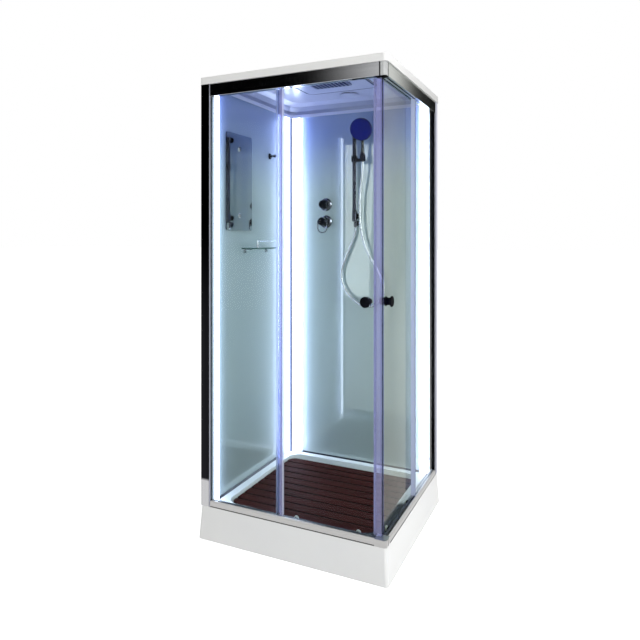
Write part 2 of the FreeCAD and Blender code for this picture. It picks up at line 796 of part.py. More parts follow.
def light_strips():
    """diffusers and tapes: wall post and corner post, and both again on the back wall. A
    diffuser's leg closes its channel down to the lip that holds the wall glass."""
    back = post_width - diffuser_recess - diffuser_thickness
    face = back + diffuser_thickness
    leg_foot = wall_offset + wall_glass + wall_play + lip
    diffusers, tapes = [], []
    for start, from_front in ((post_box_depth, True), (corner_nose, False)):
        middle = start + light_channel / 2
        end = start + light_channel + skin
        if from_front:
            cover, leg = (-half + start, -half + end), (-half + end - skin, -half + end)
            strip = (-half + middle - tape_width / 2, -half + middle + tape_width / 2)
        else:
            cover, leg = (half - end, half - start), (half - end, half - end + skin)
            strip = (half - middle - tape_width / 2, half - middle + tape_width / 2)
        diffuser = joined([block(-half + back, -half + face, *cover, rim_z, frame_top),
                           block(-half + leg_foot, -half + face, *leg, rim_z, frame_top)])
        tape_p = tape_plate_offset + skin
        tape = block(-half + tape_p, -half + tape_p + tape_thickness, *strip,
                     rim_z + tape_end_gap, frame_top - tape_end_gap)
        diffusers += [diffuser, to_right(diffuser)]
        tapes += [tape, to_right(tape)]
    return group(diffusers + tapes)


# Walls
def wall_panels():
    y0 = -half + post_end + wall_end_gap
    y1 = half - corner_end - wall_end_gap
    left = block(-half + wall_offset, -wall_face, y0, y1, rim_z, frame_top - wall_top_gap)
    back = to_right(left)
    for x, z, radius in ((valve_x, mixer_z, sleeve_radius), (valve_x, diverter_z, sleeve_radius),
                         (bar_x, outlet_z, outlet_radius)):
        back = back.cut(rod(radius + sleeve_gap, Vector(x, wall_face - overrun, z), Y_AXIS,
                            wall_glass + 2 * overrun))
    bead_y0, bead_y1 = -half + post_full, half - corner_full
    corner = Vector(-wall_face, bead_y0, rim_z)
    outline = Part.makePolygon([corner, corner + X_AXIS * bead_depth, corner + Z_AXIS * bead_height, corner])
    bead = Part.Face(outline).extrude(Y_AXIS * (bead_y1 - bead_y0))
    tube = block(-half, -half + wall_offset - head_rail_gap, bead_y0, bead_y1, top_rail_z, frame_top)
    hole = block(-half + skin, -half + wall_offset - head_rail_gap - skin, bead_y0 - overrun,
                 bead_y1 + overrun, top_rail_z + skin, frame_top - skin)
    head = tube.cut(hole)
    pipe_hole = rod(pipe_radius + pipe_hole_gap, Vector(pipe_x, half - pipe_offset, top_rail_z - overrun),
                    Z_AXIS, top_rail_height + 2 * overrun)
    seals = [bead, to_right(bead), pane_seal(), to_right(pane_seal())]
    return {"wall_panel_left": left, "wall_panel_back": back, "fixed_seals": group(seals),
            "head_rails": group([head, to_right(head).cut(pipe_hole)])}


# Fixed panes and doors, made for the front
def fixed_pane():
    z0 = rim_z + bottom_rail_height - pane_pocket + lip
    z1 = top_rail_z + pane_pocket - lip - wall_top_gap
    return block(pane_x0, pane_x1, pane_y - glass_thickness / 2, pane_y + glass_thickness / 2, z0, z1)


def edge_seal(edge_x, side, plane_y, fin_y, z0, z1):
    """channel on a glass edge; side is +1 where the glass ends towards +X; fin reaches fin_y"""
    out = glass_thickness / 2 + seal_skin
    cap = sorted((edge_x, edge_x + side * seal_cap))
    grip = sorted((edge_x - side * seal_grip, edge_x))
    parts = [block(*cap, plane_y - out, plane_y + out, z0, z1)]
    for near in (-out, glass_thickness / 2):
        parts.append(block(*grip, plane_y + near, plane_y + near + seal_skin, z0, z1))
    if fin_y is not None:
        parts.append(block(*cap, *sorted((plane_y, fin_y)), z0, z1))
    return joined(parts)


def pane_seal():
    return edge_seal(pane_x1, 1, pane_y, door_y - glass_thickness / 2 - fin_gap, seal_z0, seal_z1)


def door_seals():
    lap = edge_seal(door_x0, -1, door_y, pane_y + glass_thickness / 2 + fin_gap, seal_z0, seal_z1)
    grip = edge_seal(door_x1, 1, door_y, None, seal_z0, seal_z1)
    nose = block(door_x1 + seal_cap, -door_y + magnet_half, door_y - magnet_half, door_y + magnet_half,
                 seal_z0, seal_z1)
    far = frame_side
    keep = Part.Face(Part.makePolygon([Vector(-far, far - run_gap, seal_z0), Vector(-far, -far, seal_z0),
                                       Vector(far, -far - run_gap, seal_z0),
                                       Vector(-far, far - run_gap, seal_z0)]))
    nose = nose.common(keep.extrude(Z_AXIS * (seal_z1 - seal_z0)))
    return group([lap, joined([grip, nose])])


def door_glass():
    glass = block(door_x0, door_x1, door_y - glass_thickness / 2, door_y + glass_thickness / 2,
                  door_z0, door_z1)
    front = door_y - glass_thickness / 2 - overrun
    through = glass_thickness + 2 * overrun
    for x in wheel_places:
        for z in (bottom_wheel_z, top_wheel_z):
            glass = glass.cut(rod(axle_radius + axle_hole_gap, Vector(x, front, z), Y_AXIS, through))
    return glass.cut(rod(knob_bolt_radius + knob_hole_gap, Vector(knob_x, front, knob_height), Y_AXIS,
                         through))


def axle(x, z):
    """cap, shank through the glass, boss, axle and head, along +Y"""
    glass_out = door_y - glass_thickness / 2
    glass_in = door_y + glass_thickness / 2
    wheel_in = track_y - wheel_width / 2
    wheel_out = track_y + wheel_width / 2
    boss_end = wheel_in - run_gap
    head_start = wheel_out + run_gap
    outline = [(0, glass_out - cap_thickness), (cap_radius, glass_out - cap_thickness),
               (cap_radius, glass_out), (axle_radius, glass_out), (axle_radius, glass_in),
               (boss_radius, glass_in), (axle_radius + lip, boss_end), (axle_radius, boss_end),
               (axle_radius, head_start), (axle_head_radius, head_start),
               (axle_head_radius, head_start + axle_head), (0, head_start + axle_head)]
    return turned(outline, Vector(x, 0, z), Y_AXIS)


def wheel(x, z):
    width, groove = wheel_width / 2, wheel_groove_width / 2
    bore = axle_radius + bore_gap
    floor = wheel_radius - wheel_groove_depth
    outline = [(bore, -width), (wheel_radius, -width), (wheel_radius, -groove), (floor, -groove),
               (floor, groove), (wheel_radius, groove), (wheel_radius, width), (bore, width)]
    return turned(outline, Vector(x, track_y, z), Y_AXIS)


def door_knob():
    glass_out = door_y - glass_thickness / 2
    glass_in = door_y + glass_thickness / 2
    disc = glass_out - knob_neck_length
    end = disc - knob_disc_thickness
    tip = glass_in + knob_bolt_bite
    outer = turned([(0, end), (knob_disc_radius - knob_edge, end), (knob_disc_radius, end + knob_edge),
                    (knob_disc_radius, disc - knob_edge), (knob_disc_radius - knob_edge, disc),
                    (knob_neck_radius, disc + knob_edge),
                    (knob_neck_radius, glass_out - knob_base_thickness),
                    (knob_base_radius - knob_edge, glass_out - knob_base_thickness),
                    (knob_base_radius, glass_out - knob_base_thickness + knob_edge),
                    (knob_base_radius, glass_out),
                    (knob_bolt_radius, glass_out), (knob_bolt_radius, tip), (0, tip)],
                   Vector(knob_x, 0, knob_height), Y_AXIS)
    bore = knob_bolt_radius + bore_gap
    far = glass_in + knob_inner_length
    inner = turned([(0, tip + bore_gap), (bore, tip + bore_gap), (bore, glass_in),
                    (knob_neck_radius, glass_in), (knob_neck_radius, far - knob_edge),
                    (knob_neck_radius - knob_edge, far), (0, far)],
                   Vector(knob_x, 0, knob_height), Y_AXIS)
    return group([outer, inner])


def door_parts():
    parts = {}
    parts.update(front_and_right("door_glass", door_glass()))
    parts.update(front_and_right("door_seals", door_seals()))
    fittings = [door_knob()]
    for number, (x, z) in enumerate([(x, z) for z in (bottom_wheel_z, top_wheel_z) for x in wheel_places]):
        fittings.append(axle(x, z))
        parts.update(front_and_right("door_wheel_%d" % (number + 1), wheel(x, z)))
    parts.update(front_and_right("door_fittings", group(fittings)))
    return parts


# Roof
def roof():
    z = frame_top
    rim_half = half + roof_overhang
    levels = [(rim_inner_half, band_corner, z - rim_drop), (rim_inner_half, band_corner, z - rim_ledge),
              (rim_inner_half - rim_step, band_corner, z - rim_ledge),
              (rim_inner_half - rim_step - rim_draft, band_corner, z + rim_band),
              (rim_inner_half - rim_step - rim_draft - cove_draft, cove_corner, z + rim_band + cove_rise),
              (rim_inner_half - rim_step - rim_draft - dome_draft, dome_corner, ceiling_z)]
    lifts = [0, roof_wall, 0, roof_wall, roof_wall, roof_wall]
    outside, inside = [], []
    for low, high in ((0, 1), (2, 3), (3, 4), (4, 5)):
        inner, outer = [], []
        for index in (low, high):
            side, corner, level = levels[index]
            inner.append((side, side, corner, level))
            outer.append((side + roof_wall, side + roof_wall, corner + roof_wall, level + lifts[index]))
        inside.append(square_loft(*inner))
        outside.append(square_loft(*outer))

    flange = square_slab(rim_half, rim_half, roof_corner, z, z + roof_rim_height)
    gutter = square_slab(rim_half - roof_wall, rim_half - roof_wall, roof_corner - roof_wall,
                         z + roof_wall, z + roof_rim_height + overrun)
    shell = joined([flange.cut(gutter)] + outside).cut(joined(inside))
    low = ceiling_z - overrun
    through = roof_wall + 2 * overrun
    stem_hole = rod(rain_stem_radius + rain_stem_gap, Vector(rain_x, rain_y, low), Z_AXIS, through)
    fan_hole = rod(fan_tube_radius - fan_tube_wall, Vector(fan_x, fan_y, low), Z_AXIS, through)
    pipe_hole = rod(pipe_radius + pipe_hole_gap, Vector(pipe_x, half - pipe_offset, z - overrun), Z_AXIS,
                    through)
    return shell.cut(stem_hole).cut(fan_hole).cut(pipe_hole)


def ceiling_panel():
    z0, z1 = ceiling_z - panel_thickness, ceiling_z
    wide = panel_side / 2
    narrow = wide - panel_thickness
    panel = square_loft((narrow, narrow, panel_corner, z0), (wide, wide, panel_corner, z1), panel_x, panel_y)
    window = square_slab(rain_side / 2 + rain_play, rain_side / 2 + rain_play, rain_corner,
                         z0 - overrun, z1 + overrun, rain_x, rain_y)
    return panel.cut(window)


def rain_head():
    face_z = ceiling_z - rain_thickness
    plate = square_slab(rain_side / 2, rain_side / 2, rain_corner, face_z, ceiling_z, rain_x, rain_y)
    stem = rod(rain_stem_radius, Vector(rain_x, rain_y, ceiling_z), Z_AXIS, roof_wall + rain_stem_length)
    nozzles = []
    first = -nozzle_pitch * (nozzle_count - 1) / 2
    for i in range(nozzle_count):
        for j in range(nozzle_count):
            base = Vector(rain_x + first + nozzle_pitch * i, rain_y + first + nozzle_pitch * j, face_z)
            nozzles.append(rod(nozzle_radius, base, -Z_AXIS, nozzle_height))
    return group([joined([plate, stem])] + nozzles)


def rain_pipe():
    """from the diverter up behind the wall, through the head rail and over the roof"""
    back_y = half - pipe_offset
    start = Vector(pipe_x, back_y, diverter_z + valve_margin)
    level = roof_top + pipe_lift
    turn_in = Vector(pipe_x, rain_y, level)
    above_head = Vector(rain_x, rain_y, level)
    end = Vector(rain_x, rain_y, roof_top + rain_stem_length)
    bend = min(pipe_bend, (level - end.z) * hose_run_share * 2)
    path = rounded_path([start, Vector(pipe_x, back_y, level), turn_in, above_head, end],
                        [pipe_bend, pipe_bend, bend])
    return swept(path, pipe_radius).cut(swept(path, pipe_radius - pipe_wall))


def fan():
    base = Vector(fan_x, fan_y, roof_top)
    inner = fan_tube_radius - fan_tube_wall
    tube = sleeve(fan_tube_radius, inner, base, Z_AXIS, fan_tube_height)
    flange = sleeve(fan_flange_radius, inner, base, Z_AXIS, fan_flange)
    motor_z = roof_top + fan_tube_height - fan_motor_height
    motor_base = Vector(fan_x, fan_y, motor_z)
    motor = rod(fan_motor_radius, motor_base, Z_AXIS, fan_motor_height)
    spokes = [block(fan_x - inner - lip, fan_x + inner + lip, fan_y - fan_spoke_width / 2,
                    fan_y + fan_spoke_width / 2, motor_z + fan_motor_height / 2, roof_top + fan_tube_height),
              block(fan_x - fan_spoke_width / 2, fan_x + fan_spoke_width / 2, fan_y - inner - lip,
                    fan_y + inner + lip, motor_z + fan_motor_height / 2, roof_top + fan_tube_height)]
    bearing = rod(fan_shaft_radius + bore_gap, motor_base - Z_AXIS * overrun, Z_AXIS,
                  fan_motor_height / 2 + overrun)
    housing = joined([tube, flange, motor] + spokes).cut(bearing)
    hub_top = motor_z - run_gap
    hub_base = hub_top - fan_blade_height
    rotor_parts = [rod(fan_hub_radius, Vector(fan_x, fan_y, hub_base), Z_AXIS, fan_blade_height),
                   rod(fan_shaft_radius, Vector(fan_x, fan_y, hub_base), Z_AXIS,
                       fan_blade_height + fan_motor_height / 2)]
    tip = inner - fan_tip_gap
    for k in range(fan_blade_count):
        blade = block(fan_hub_radius / 2, tip, -fan_blade_thickness / 2, fan_blade_thickness / 2,
                      -fan_blade_height / 2, fan_blade_height / 2)
        blade.rotate(Vector(0, 0, 0), X_AXIS, fan_blade_pitch)
        blade = blade.common(block(0, tip, -tip, tip, -fan_blade_height / 2, fan_blade_height / 2))
        blade.rotate(Vector(0, 0, 0), Z_AXIS, 360 * k / fan_blade_count)
        blade.translate(Vector(fan_x, fan_y, hub_base + fan_blade_height / 2))
        rotor_parts.append(blade)
    cover_z = ceiling_z - cover_leg - cover_thickness
    cover = turned([(0, 0), (cover_radius - cover_thickness, 0), (cover_radius, cover_thickness / 2),
                    (cover_radius, cover_thickness), (0, cover_thickness)],
                   Vector(fan_x, fan_y, cover_z), Z_AXIS)
    legs = []
    ring = (inner + cover_radius) / 2
    for k in range(cover_leg_count):
        angle = 2 * math.pi * (k + 0.5) / cover_leg_count
        foot = Vector(fan_x + ring * math.cos(angle), fan_y + ring * math.sin(angle),
                      cover_z + cover_thickness)
        legs.append(rod(cover_leg_radius, foot, Z_AXIS, cover_leg))
    return {"fan_housing": housing, "fan_rotor": joined(rotor_parts), "fan_cover": joined([cover] + legs)}


def power_unit():
    box = square_slab(unit_length / 2, unit_width / 2, unit_corner, roof_top, roof_top + unit_height,
                      unit_x, unit_y)
    glands = [rod(gland_radius, Vector(unit_x + side * unit_length / 2, unit_y, roof_top + unit_height / 2),
                  X_AXIS * side, gland_length) for side in (-1, 1)]
    return joined([box] + glands)


# Left wall fittings
def mirror():
    x0 = -wall_face + mirror_standoff
    x1 = x0 + mirror_glass
    plate = square_slab(mirror_height / 2, mirror_width / 2, mirror_corner, 0, mirror_glass)
    plate.rotate(Vector(0, 0, 0), Y_AXIS, 90)
    plate.translate(Vector(x0, mirror_y, mirror_bottom + mirror_height / 2))
    caps, spacers = [], []
    for z in (mirror_bottom + mirror_cap_inset, mirror_bottom + mirror_height - mirror_cap_inset):
        hole = rod(mirror_bolt_radius + mirror_bolt_gap, Vector(x0 - overrun, mirror_y, z), X_AXIS,
                   mirror_glass + 2 * overrun)
        plate = plate.cut(hole)
        spacer = rod(mirror_cap_radius, Vector(-wall_face, mirror_y, z), X_AXIS, mirror_standoff)
        cap = turned([(0, mirror_cap), (mirror_cap_radius - mirror_cap / 2, mirror_cap),
                      (mirror_cap_radius, mirror_cap / 2), (mirror_cap_radius, 0), (mirror_bolt_radius, 0),
                      (mirror_bolt_radius, -mirror_glass), (0, -mirror_glass)],
                     Vector(x1, mirror_y, z), X_AXIS)
        spacers.append(spacer)
        caps.append(cap)
    return {"mirror": plate, "mirror_fixings": group(caps + spacers)}


def robe_hook():
    outline = [(0, 0), (hook_plate_radius, 0), (hook_plate_radius, hook_plate / 2),
               (hook_plate_radius - hook_plate / 2, hook_plate), (hook_stem_radius, hook_plate),
               (hook_stem_radius, hook_reach - hook_head), (hook_head_radius, hook_reach - hook_head / 2),
               (hook_head_radius, hook_reach), (0, hook_reach)]
    return turned(outline, Vector(-wall_face, hook_y, hook_z), X_AXIS)


def shelf():
    glass = square_slab(shelf_depth / 2, shelf_length / 2, shelf_corner, shelf_z, shelf_z + shelf_glass,
                        -wall_face + shelf_depth / 2, shelf_start + shelf_length / 2)
    top = shelf_z + shelf_glass
    rail_x = shelf_out - guard_inset
    y0, y1 = shelf_start + guard_inset, shelf_start + shelf_length - guard_inset
    rail_z = top + guard_rise
    guard = [rod(guard_radius, Vector(rail_x, y0, rail_z), Y_AXIS, y1 - y0)]
    for y in (y0, y1):
        guard.append(rod(guard_post_radius, Vector(rail_x, y, top), Z_AXIS, guard_rise + guard_post_radius))
    brackets = []
    for y in (shelf_start + bracket_inset, shelf_start + shelf_length - bracket_inset):
        y0b, y1b = y - bracket_width / 2, y + bracket_width / 2
        plate = block(-wall_face, -wall_face + bracket_plate, y0b, y1b, shelf_z - bracket_drop, shelf_z)
        under = block(-wall_face, -wall_face + bracket_reach, y0b, y1b, shelf_z - bracket_jaw, shelf_z)
        brackets.append(joined([plate, under]))
    return {"shelf_glass": glass, "shelf_fittings": group([joined(guard)] + brackets)}


# Mixer in the back wall
def valve():
    back = wall_face + wall_glass
    low, high = mixer_z - valve_margin, diverter_z + valve_margin
    body = block(valve_x - valve_width / 2, valve_x + valve_width / 2, back, back + valve_depth, low, high)
    wide = inlet_spacing / 2 + inlet_radius + skin
    inlet_z = low - inlet_margin
    manifold = block(valve_x - wide, valve_x + wide, back, back + inlet_block, inlet_z - inlet_margin,
                     low + skin)
    parts = [body, manifold]
    for side in (-1, 1):
        start = Vector(valve_x + side * inlet_spacing / 2, back + inlet_block, inlet_z)
        parts.append(rod(inlet_radius, start, Y_AXIS, inlet_length))
    for z in (mixer_z, diverter_z):
        parts.append(rod(sleeve_radius, Vector(valve_x, back, z), -Y_AXIS, wall_glass + sleeve_reach))
    solid = joined(parts)
    for z in (mixer_z, diverter_z):
        mouth = Vector(valve_x, wall_face - sleeve_reach - overrun, z)
        solid = solid.cut(rod(stem_radius + bore_gap, mouth, Y_AXIS, stem_length + overrun + skin))
    rosettes = []
    for z in (mixer_z, diverter_z):
        shoulder = (rosette_radius + control_radius) / 2
        ring = turned([(sleeve_radius + run_gap, 0), (rosette_radius, 0), (rosette_radius, rosette_edge),
                       (shoulder, rosette_thickness - rosette_edge), (control_radius, rosette_thickness),
                       (sleeve_radius + run_gap, rosette_thickness)],
                      Vector(valve_x, wall_face, z), -Y_AXIS)
        rosettes.append(ring)
    feed_z = (mixer_z + diverter_z) / 2
    feed_x = valve_x + valve_width / 2
    feed = rod(pipe_radius, Vector(feed_x, back + valve_depth / 2, feed_z), X_AXIS,
               bar_x - feed_x - outlet_radius)
    elbow = block(bar_x - outlet_radius, bar_x + outlet_radius, back, back + valve_depth,
                  outlet_z - outlet_radius, feed_z + outlet_radius)
    return {"mixer_valve": solid, "wall_outlets": group(rosettes + [hose_outlet()]),
            "water_pipes": group([joined([feed, elbow]), rain_pipe()])}


def control(z, length):
    """turned cap with its stem in the valve sleeve; the axis runs out of the wall"""
    near = sleeve_reach + run_gap
    far = near + length
    return turned([(0, near - stem_length), (stem_radius, near - stem_length), (stem_radius, near),
                   (control_radius, near), (control_radius, far - control_edge),
                   (control_radius - control_edge, far), (0, far)],
                  Vector(valve_x, wall_face, z), -Y_AXIS)


def lever_y():
    return wall_face - sleeve_reach - run_gap - mixer_length * lever_axis_share


def mixer_cap():
    reach = control_radius + lever_pin_length
    pin = rod(lever_pin_radius, Vector(valve_x - reach, lever_y(), mixer_z), X_AXIS, 2 * reach)
    return joined([control(mixer_z, mixer_length), pin])


def diverter_knob():
    front = wall_face - sleeve_reach - run_gap - diverter_length
    mark = block(valve_x - mark_width / 2, valve_x + mark_width / 2, front - overrun, front + mark_depth,
                 diverter_z, diverter_z + control_radius + overrun)
    return control(diverter_z, diverter_length).cut(mark)


def mixer_lever():
    y = lever_y()
    arm = control_radius + run_gap + lever_rod_radius
    z0 = mixer_z - lever_drop
    parts = []
    for side in (-1, 1):
        start = Vector(valve_x + side * arm - lever_boss_length / 2, y, mixer_z)
        parts.append(rod(lever_boss_radius, start, X_AXIS, lever_boss_length))
        parts.append(rod(lever_rod_radius, Vector(valve_x + side * arm, y, z0), Z_AXIS, lever_drop))
    bend = Part.makeTorus(arm, lever_rod_radius, Vector(valve_x, y, z0), Y_AXIS)
    below = block(valve_x - 2 * arm, valve_x + 2 * arm, y - 2 * lever_rod_radius, y + 2 * lever_rod_radius,
                  z0 - 2 * arm, z0)
    parts.append(bend.common(below))
    loop = joined(parts)
    reach = arm + lever_boss_length
    bore = rod(lever_pin_radius + bore_gap, Vector(valve_x - reach, y, mixer_z), X_AXIS, 2 * reach)
    return loop.cut(bore)


# Slide bar and hand shower
def slide_bar():
    axis = Vector(bar_x, bar_y, bar_bottom)
    pieces = [sleeve(bar_radius, bar_radius - bar_wall, axis, Z_AXIS, bar_top - bar_bottom)]
    for start, height in ((bar_bottom, lower_foot), (bar_top - upper_foot, upper_foot)):
        middle = Vector(bar_x, wall_face, start + height / 2)
        arm = rod(foot_arm_radius, middle, -Y_AXIS, bar_offset)
        plate = rod(foot_rosette_radius, middle, -Y_AXIS, foot_rosette)
        ring = rod(foot_ring_radius, Vector(bar_x, bar_y, start), Z_AXIS, height)
        bore = rod(bar_radius, Vector(bar_x, bar_y, start - overrun), Z_AXIS, height + 2 * overrun)
        pieces.append(joined([arm, plate, ring]).cut(bore))
    return group(pieces)


def hose_outlet():
    y = wall_face - outlet_reach
    arm = rod(outlet_radius, Vector(bar_x, wall_face + wall_glass, outlet_z), -Y_AXIS,
              outlet_reach + wall_glass)
    plate = turned([(0, 0), (outlet_rosette_radius, 0), (outlet_rosette_radius, outlet_rosette / 2),
                    (outlet_rosette_radius - outlet_rosette / 2, outlet_rosette), (0, outlet_rosette)],
                   Vector(bar_x, wall_face, outlet_z), -Y_AXIS)
    elbow = Part.makeSphere(outlet_radius, Vector(bar_x, y, outlet_z))
    spout = rod(outlet_radius, Vector(bar_x, y, outlet_z), -Z_AXIS, outlet_drop)
    return joined([arm, plate, elbow, spout])


def slider():
    z0 = slider_z - slider_height / 2
    body = rod(slider_radius, Vector(bar_x, bar_y, z0), Z_AXIS, slider_height)
    arm = block(bar_x, arm_end_x, holder_y - slider_arm / 2, bar_y, pivot_z - slider_arm / 2,
                pivot_z + slider_arm / 2)
    bore = rod(bar_radius + bore_gap, Vector(bar_x, bar_y, z0 - overrun), Z_AXIS,
               slider_height + 2 * overrun)
    pin = rod(axle_radius, Vector(arm_end_x, holder_y, pivot_z), X_AXIS, slider_arm / 2)
    return joined([body, arm, pin]).cut(bore)


def hand_direction():
    lean = math.radians(hand_lean)
    return Vector(0, -math.sin(lean), math.cos(lean))


def holder():
    pivot = Vector(holder_x, holder_y, pivot_z)
    along = hand_direction()
    inner = holder_radius - holder_wall
    cup = rod(holder_radius, pivot - along * holder_below, along, holder_below + holder_above)
    boss_start = Vector(arm_end_x + run_gap, holder_y, pivot_z)
    boss = rod(holder_boss_radius, boss_start, X_AXIS, holder_x - arm_end_x - run_gap)
    bore = rod(inner, pivot - along * (holder_below + overrun), along,
               holder_below + holder_above + 2 * overrun)
    pin_hole = rod(axle_radius + bore_gap, boss_start - X_AXIS * overrun, X_AXIS,
                   overrun + slider_arm / 2 + run_gap)
    return joined([cup, boss]).cut(bore).cut(pin_hole)


def hand_shower():
    pivot = Vector(holder_x, holder_y, pivot_z)
    along = hand_direction()
    seat = holder_radius - holder_wall - holder_play
    body = turned([(0, -hand_nut_below), (seat, -hand_nut_below), (seat, holder_above),
                   (hand_handle_radius, holder_above + seat), (hand_neck_radius, hand_length),
                   (hand_neck_radius, hand_length + hand_neck_bite), (0, hand_length + hand_neck_bite)],
                  pivot, along)
    tilt = math.radians(head_tilt)
    normal = Vector(0, -math.cos(tilt), -math.sin(tilt))
    upward = Vector(0, -math.sin(tilt), math.cos(tilt))
    centre = pivot + along * hand_length + upward * head_radius - normal * (head_thickness / 2)
    head = turned([(0, 0), (head_radius - 2 * head_edge, 0), (head_radius, head_edge),
                   (head_radius, head_thickness - head_edge / 2),
                   (head_radius - head_edge / 2, head_thickness), (0, head_thickness)], centre, normal)
    handle = joined([body, head])
    face_centre = centre + normal * head_thickness
    face = rod(face_radius, face_centre, normal, face_thickness)
    tip_base = face_centre + normal * face_thickness
    nozzles = [rod(face_nozzle_radius, tip_base, normal, face_nozzle_height)]
    for ring in range(1, face_nozzle_rings + 1):
        radius = ring * face_ring_pitch
        count = int(2 * math.pi * radius / face_nozzle_pitch)
        for k in range(count):
            angle = 2 * math.pi * k / count
            base = tip_base + X_AXIS * (radius * math.cos(angle)) + upward * (radius * math.sin(angle))
            nozzles.append(rod(face_nozzle_radius, base, normal, face_nozzle_height))
    return {"hand_shower": handle, "hand_shower_face": group([face] + nozzles)}


def hose():
    """free chrome hose: route from the spout down, round its low loop and up to the hand shower"""
    spout = Vector(bar_x, wall_face - outlet_reach, outlet_z - outlet_drop)
    along = hand_direction()
    top = Vector(holder_x, holder_y, pivot_z) - along * hand_nut_below
    route = [spout, spout - Z_AXIS * hose_exit]
    for side, out, down in hose_corner_shares:
        route.append(Vector(bar_x + side * hose_swing, wall_face - out * outlet_reach,
                            spout.z - down * hose_drop))
    route += [top - along * hose_entry, top]
    radii = []
    for index in range(1, len(route) - 1):
        back = route[index - 1] - route[index]
        ahead = route[index + 1] - route[index]
        turn = math.pi - back.getAngle(ahead)
        shorter = min(back.Length, ahead.Length)
        radii.append(hose_run_share * shorter / math.tan(turn / 2))
    path = rounded_path(route, radii)
    solid = swept(path, hose_radius)
    print("hose length", round(path.Length, 1), "radii", [round(r) for r in radii])
    print("hose volume share", round(solid.Volume / (math.pi * hose_radius ** 2 * path.Length), 4))
    return solid


def all_parts():
    post = wall_post()
    parts = {"tray": tray(), "support_frame": support_frame(), "levelling_feet": feet(),
             "waste_trap": waste(), "post_front_left": post, "post_back_right": to_right(post),
             "post_back_left": corner_post(), "light_strips": light_strips(), "roof": roof(),
             "ceiling_panel": ceiling_panel(), "rain_head": rain_head(), "power_unit": power_unit(),
             "robe_hook": robe_hook(), "diverter_knob": diverter_knob(),
             "mixer_cap": mixer_cap(), "mixer_lever": mixer_lever(), "slide_bar": slide_bar(),
             "slider": slider(), "hand_holder": holder(), "hose": hose()}
    for pieces in (duckboard(), front_and_right("bottom_rail", bottom_rail()),
                   front_and_right("top_rail", top_rail()), corner_connectors(), wall_panels(),
                   front_and_right("fixed_pane", fixed_pane()), door_parts(), fan(), mirror(), shelf(),
                   valve(), hand_shower()):
        parts.update(pieces)
    return parts


os.makedirs("parts", exist_ok=True)
for node, shape in all_parts().items():
    shape.exportStep("parts/" + node + ".step")
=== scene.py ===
import math

import bmesh
import bpy
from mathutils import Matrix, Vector


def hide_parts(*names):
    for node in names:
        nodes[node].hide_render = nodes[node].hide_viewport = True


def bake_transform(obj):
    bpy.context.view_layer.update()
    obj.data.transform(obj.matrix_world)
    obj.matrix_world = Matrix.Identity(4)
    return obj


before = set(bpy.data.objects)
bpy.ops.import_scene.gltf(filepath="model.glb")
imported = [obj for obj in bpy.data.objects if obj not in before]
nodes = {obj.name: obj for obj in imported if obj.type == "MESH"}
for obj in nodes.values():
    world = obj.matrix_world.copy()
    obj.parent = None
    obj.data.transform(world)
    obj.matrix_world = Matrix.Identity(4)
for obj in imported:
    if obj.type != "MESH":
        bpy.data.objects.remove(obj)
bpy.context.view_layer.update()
print("frame loaded:", len(nodes), "nodes")


# Camera: level, as high as a standing person's shoulder, shifted down as the photograph is cropped
camera = {"place": (1.197, -2.834, 1.417), "turn": 26.79, "lens": 34.36, "sensor": 36.0,
          "shift": (0.0542, -0.1308)}


def makeCamera():
    data = bpy.data.cameras.new("studioCamera")
    data.sensor_width = camera["sensor"]
    data.lens = camera["lens"]
    data.shift_x, data.shift_y = camera["shift"]
    obj = bpy.data.objects.new("studioCamera", data)
    obj.location = camera["place"]
    obj.rotation_euler = (math.pi / 2, 0, math.radians(camera["turn"]))
    bpy.context.scene.collection.objects.link(obj)
    bpy.context.scene.camera = obj


makeCamera()


def linear(code):  # sRGB hex to the linear values that nodes take
    values = []
    for start in (0, 2, 4):
        v = int(code[start:start + 2], 16) / 255
        values.append(v / 12.92 if v <= 0.04045 else ((v + 0.055) / 1.055) ** 2.4)
    return (*values, 1.0)


def addNode(tree, kind, inputs=None, **settings):  # a node, its settings, and its sockets' values or links
    node = tree.nodes.new(kind)
    for name, value in settings.items():
        setattr(node, name, value)
    for name, value in (inputs or {}).items():
        if isinstance(value, bpy.types.NodeSocket):
            tree.links.new(value, node.inputs[name])
        else:
            node.inputs[name].default_value = value
    return node


def newMaterial(name, sockets):  # a Principled material with these socket values
    material = bpy.data.materials.new(name)
    material.use_nodes = True
    tree = material.node_tree
    shader = tree.nodes["Principled BSDF"]
    for key, value in sockets.items():
        shader.inputs[key].default_value = linear(value) if isinstance(value, str) else value
    return material, tree, shader


def shadeVariation(tree, shader, low, high, size, stretch=(1, 1, 1), detail=4.0):
    # the base colour drifts between two hex values; size is the drift's real size in metres
    coord = addNode(tree, "ShaderNodeTexCoord")
    mapping = addNode(tree, "ShaderNodeMapping", {"Vector": coord.outputs["Object"], "Scale": stretch})
    noise = addNode(tree, "ShaderNodeTexNoise", {"Vector": mapping.outputs["Vector"], "Scale": 1 / size,
                                                 "Detail": detail, "Roughness": 0.55})
    ramp = addNode(tree, "ShaderNodeMapRange", {"Value": noise.outputs["Fac"],  # noise keeps to its middle
                                                "From Min": 0.3, "From Max": 0.7})
    blendColours(tree, shader, ramp.outputs["Result"], low, high)
    return mapping, noise


def surfaceBump(tree, shader, size, height, stretch=(1, 1, 1)):  # a fine relief; size and height in metres
    coord = addNode(tree, "ShaderNodeTexCoord")
    mapping = addNode(tree, "ShaderNodeMapping", {"Vector": coord.outputs["Object"], "Scale": stretch})
    noise = addNode(tree, "ShaderNodeTexNoise", {"Vector": mapping.outputs["Vector"], "Scale": 1 / size,
                                                 "Detail": 2.0})
    bump = addNode(tree, "ShaderNodeBump", {"Height": noise.outputs["Fac"], "Distance": height,
                                            "Strength": 1.0})
    tree.links.new(bump.outputs["Normal"], shader.inputs["Normal"])


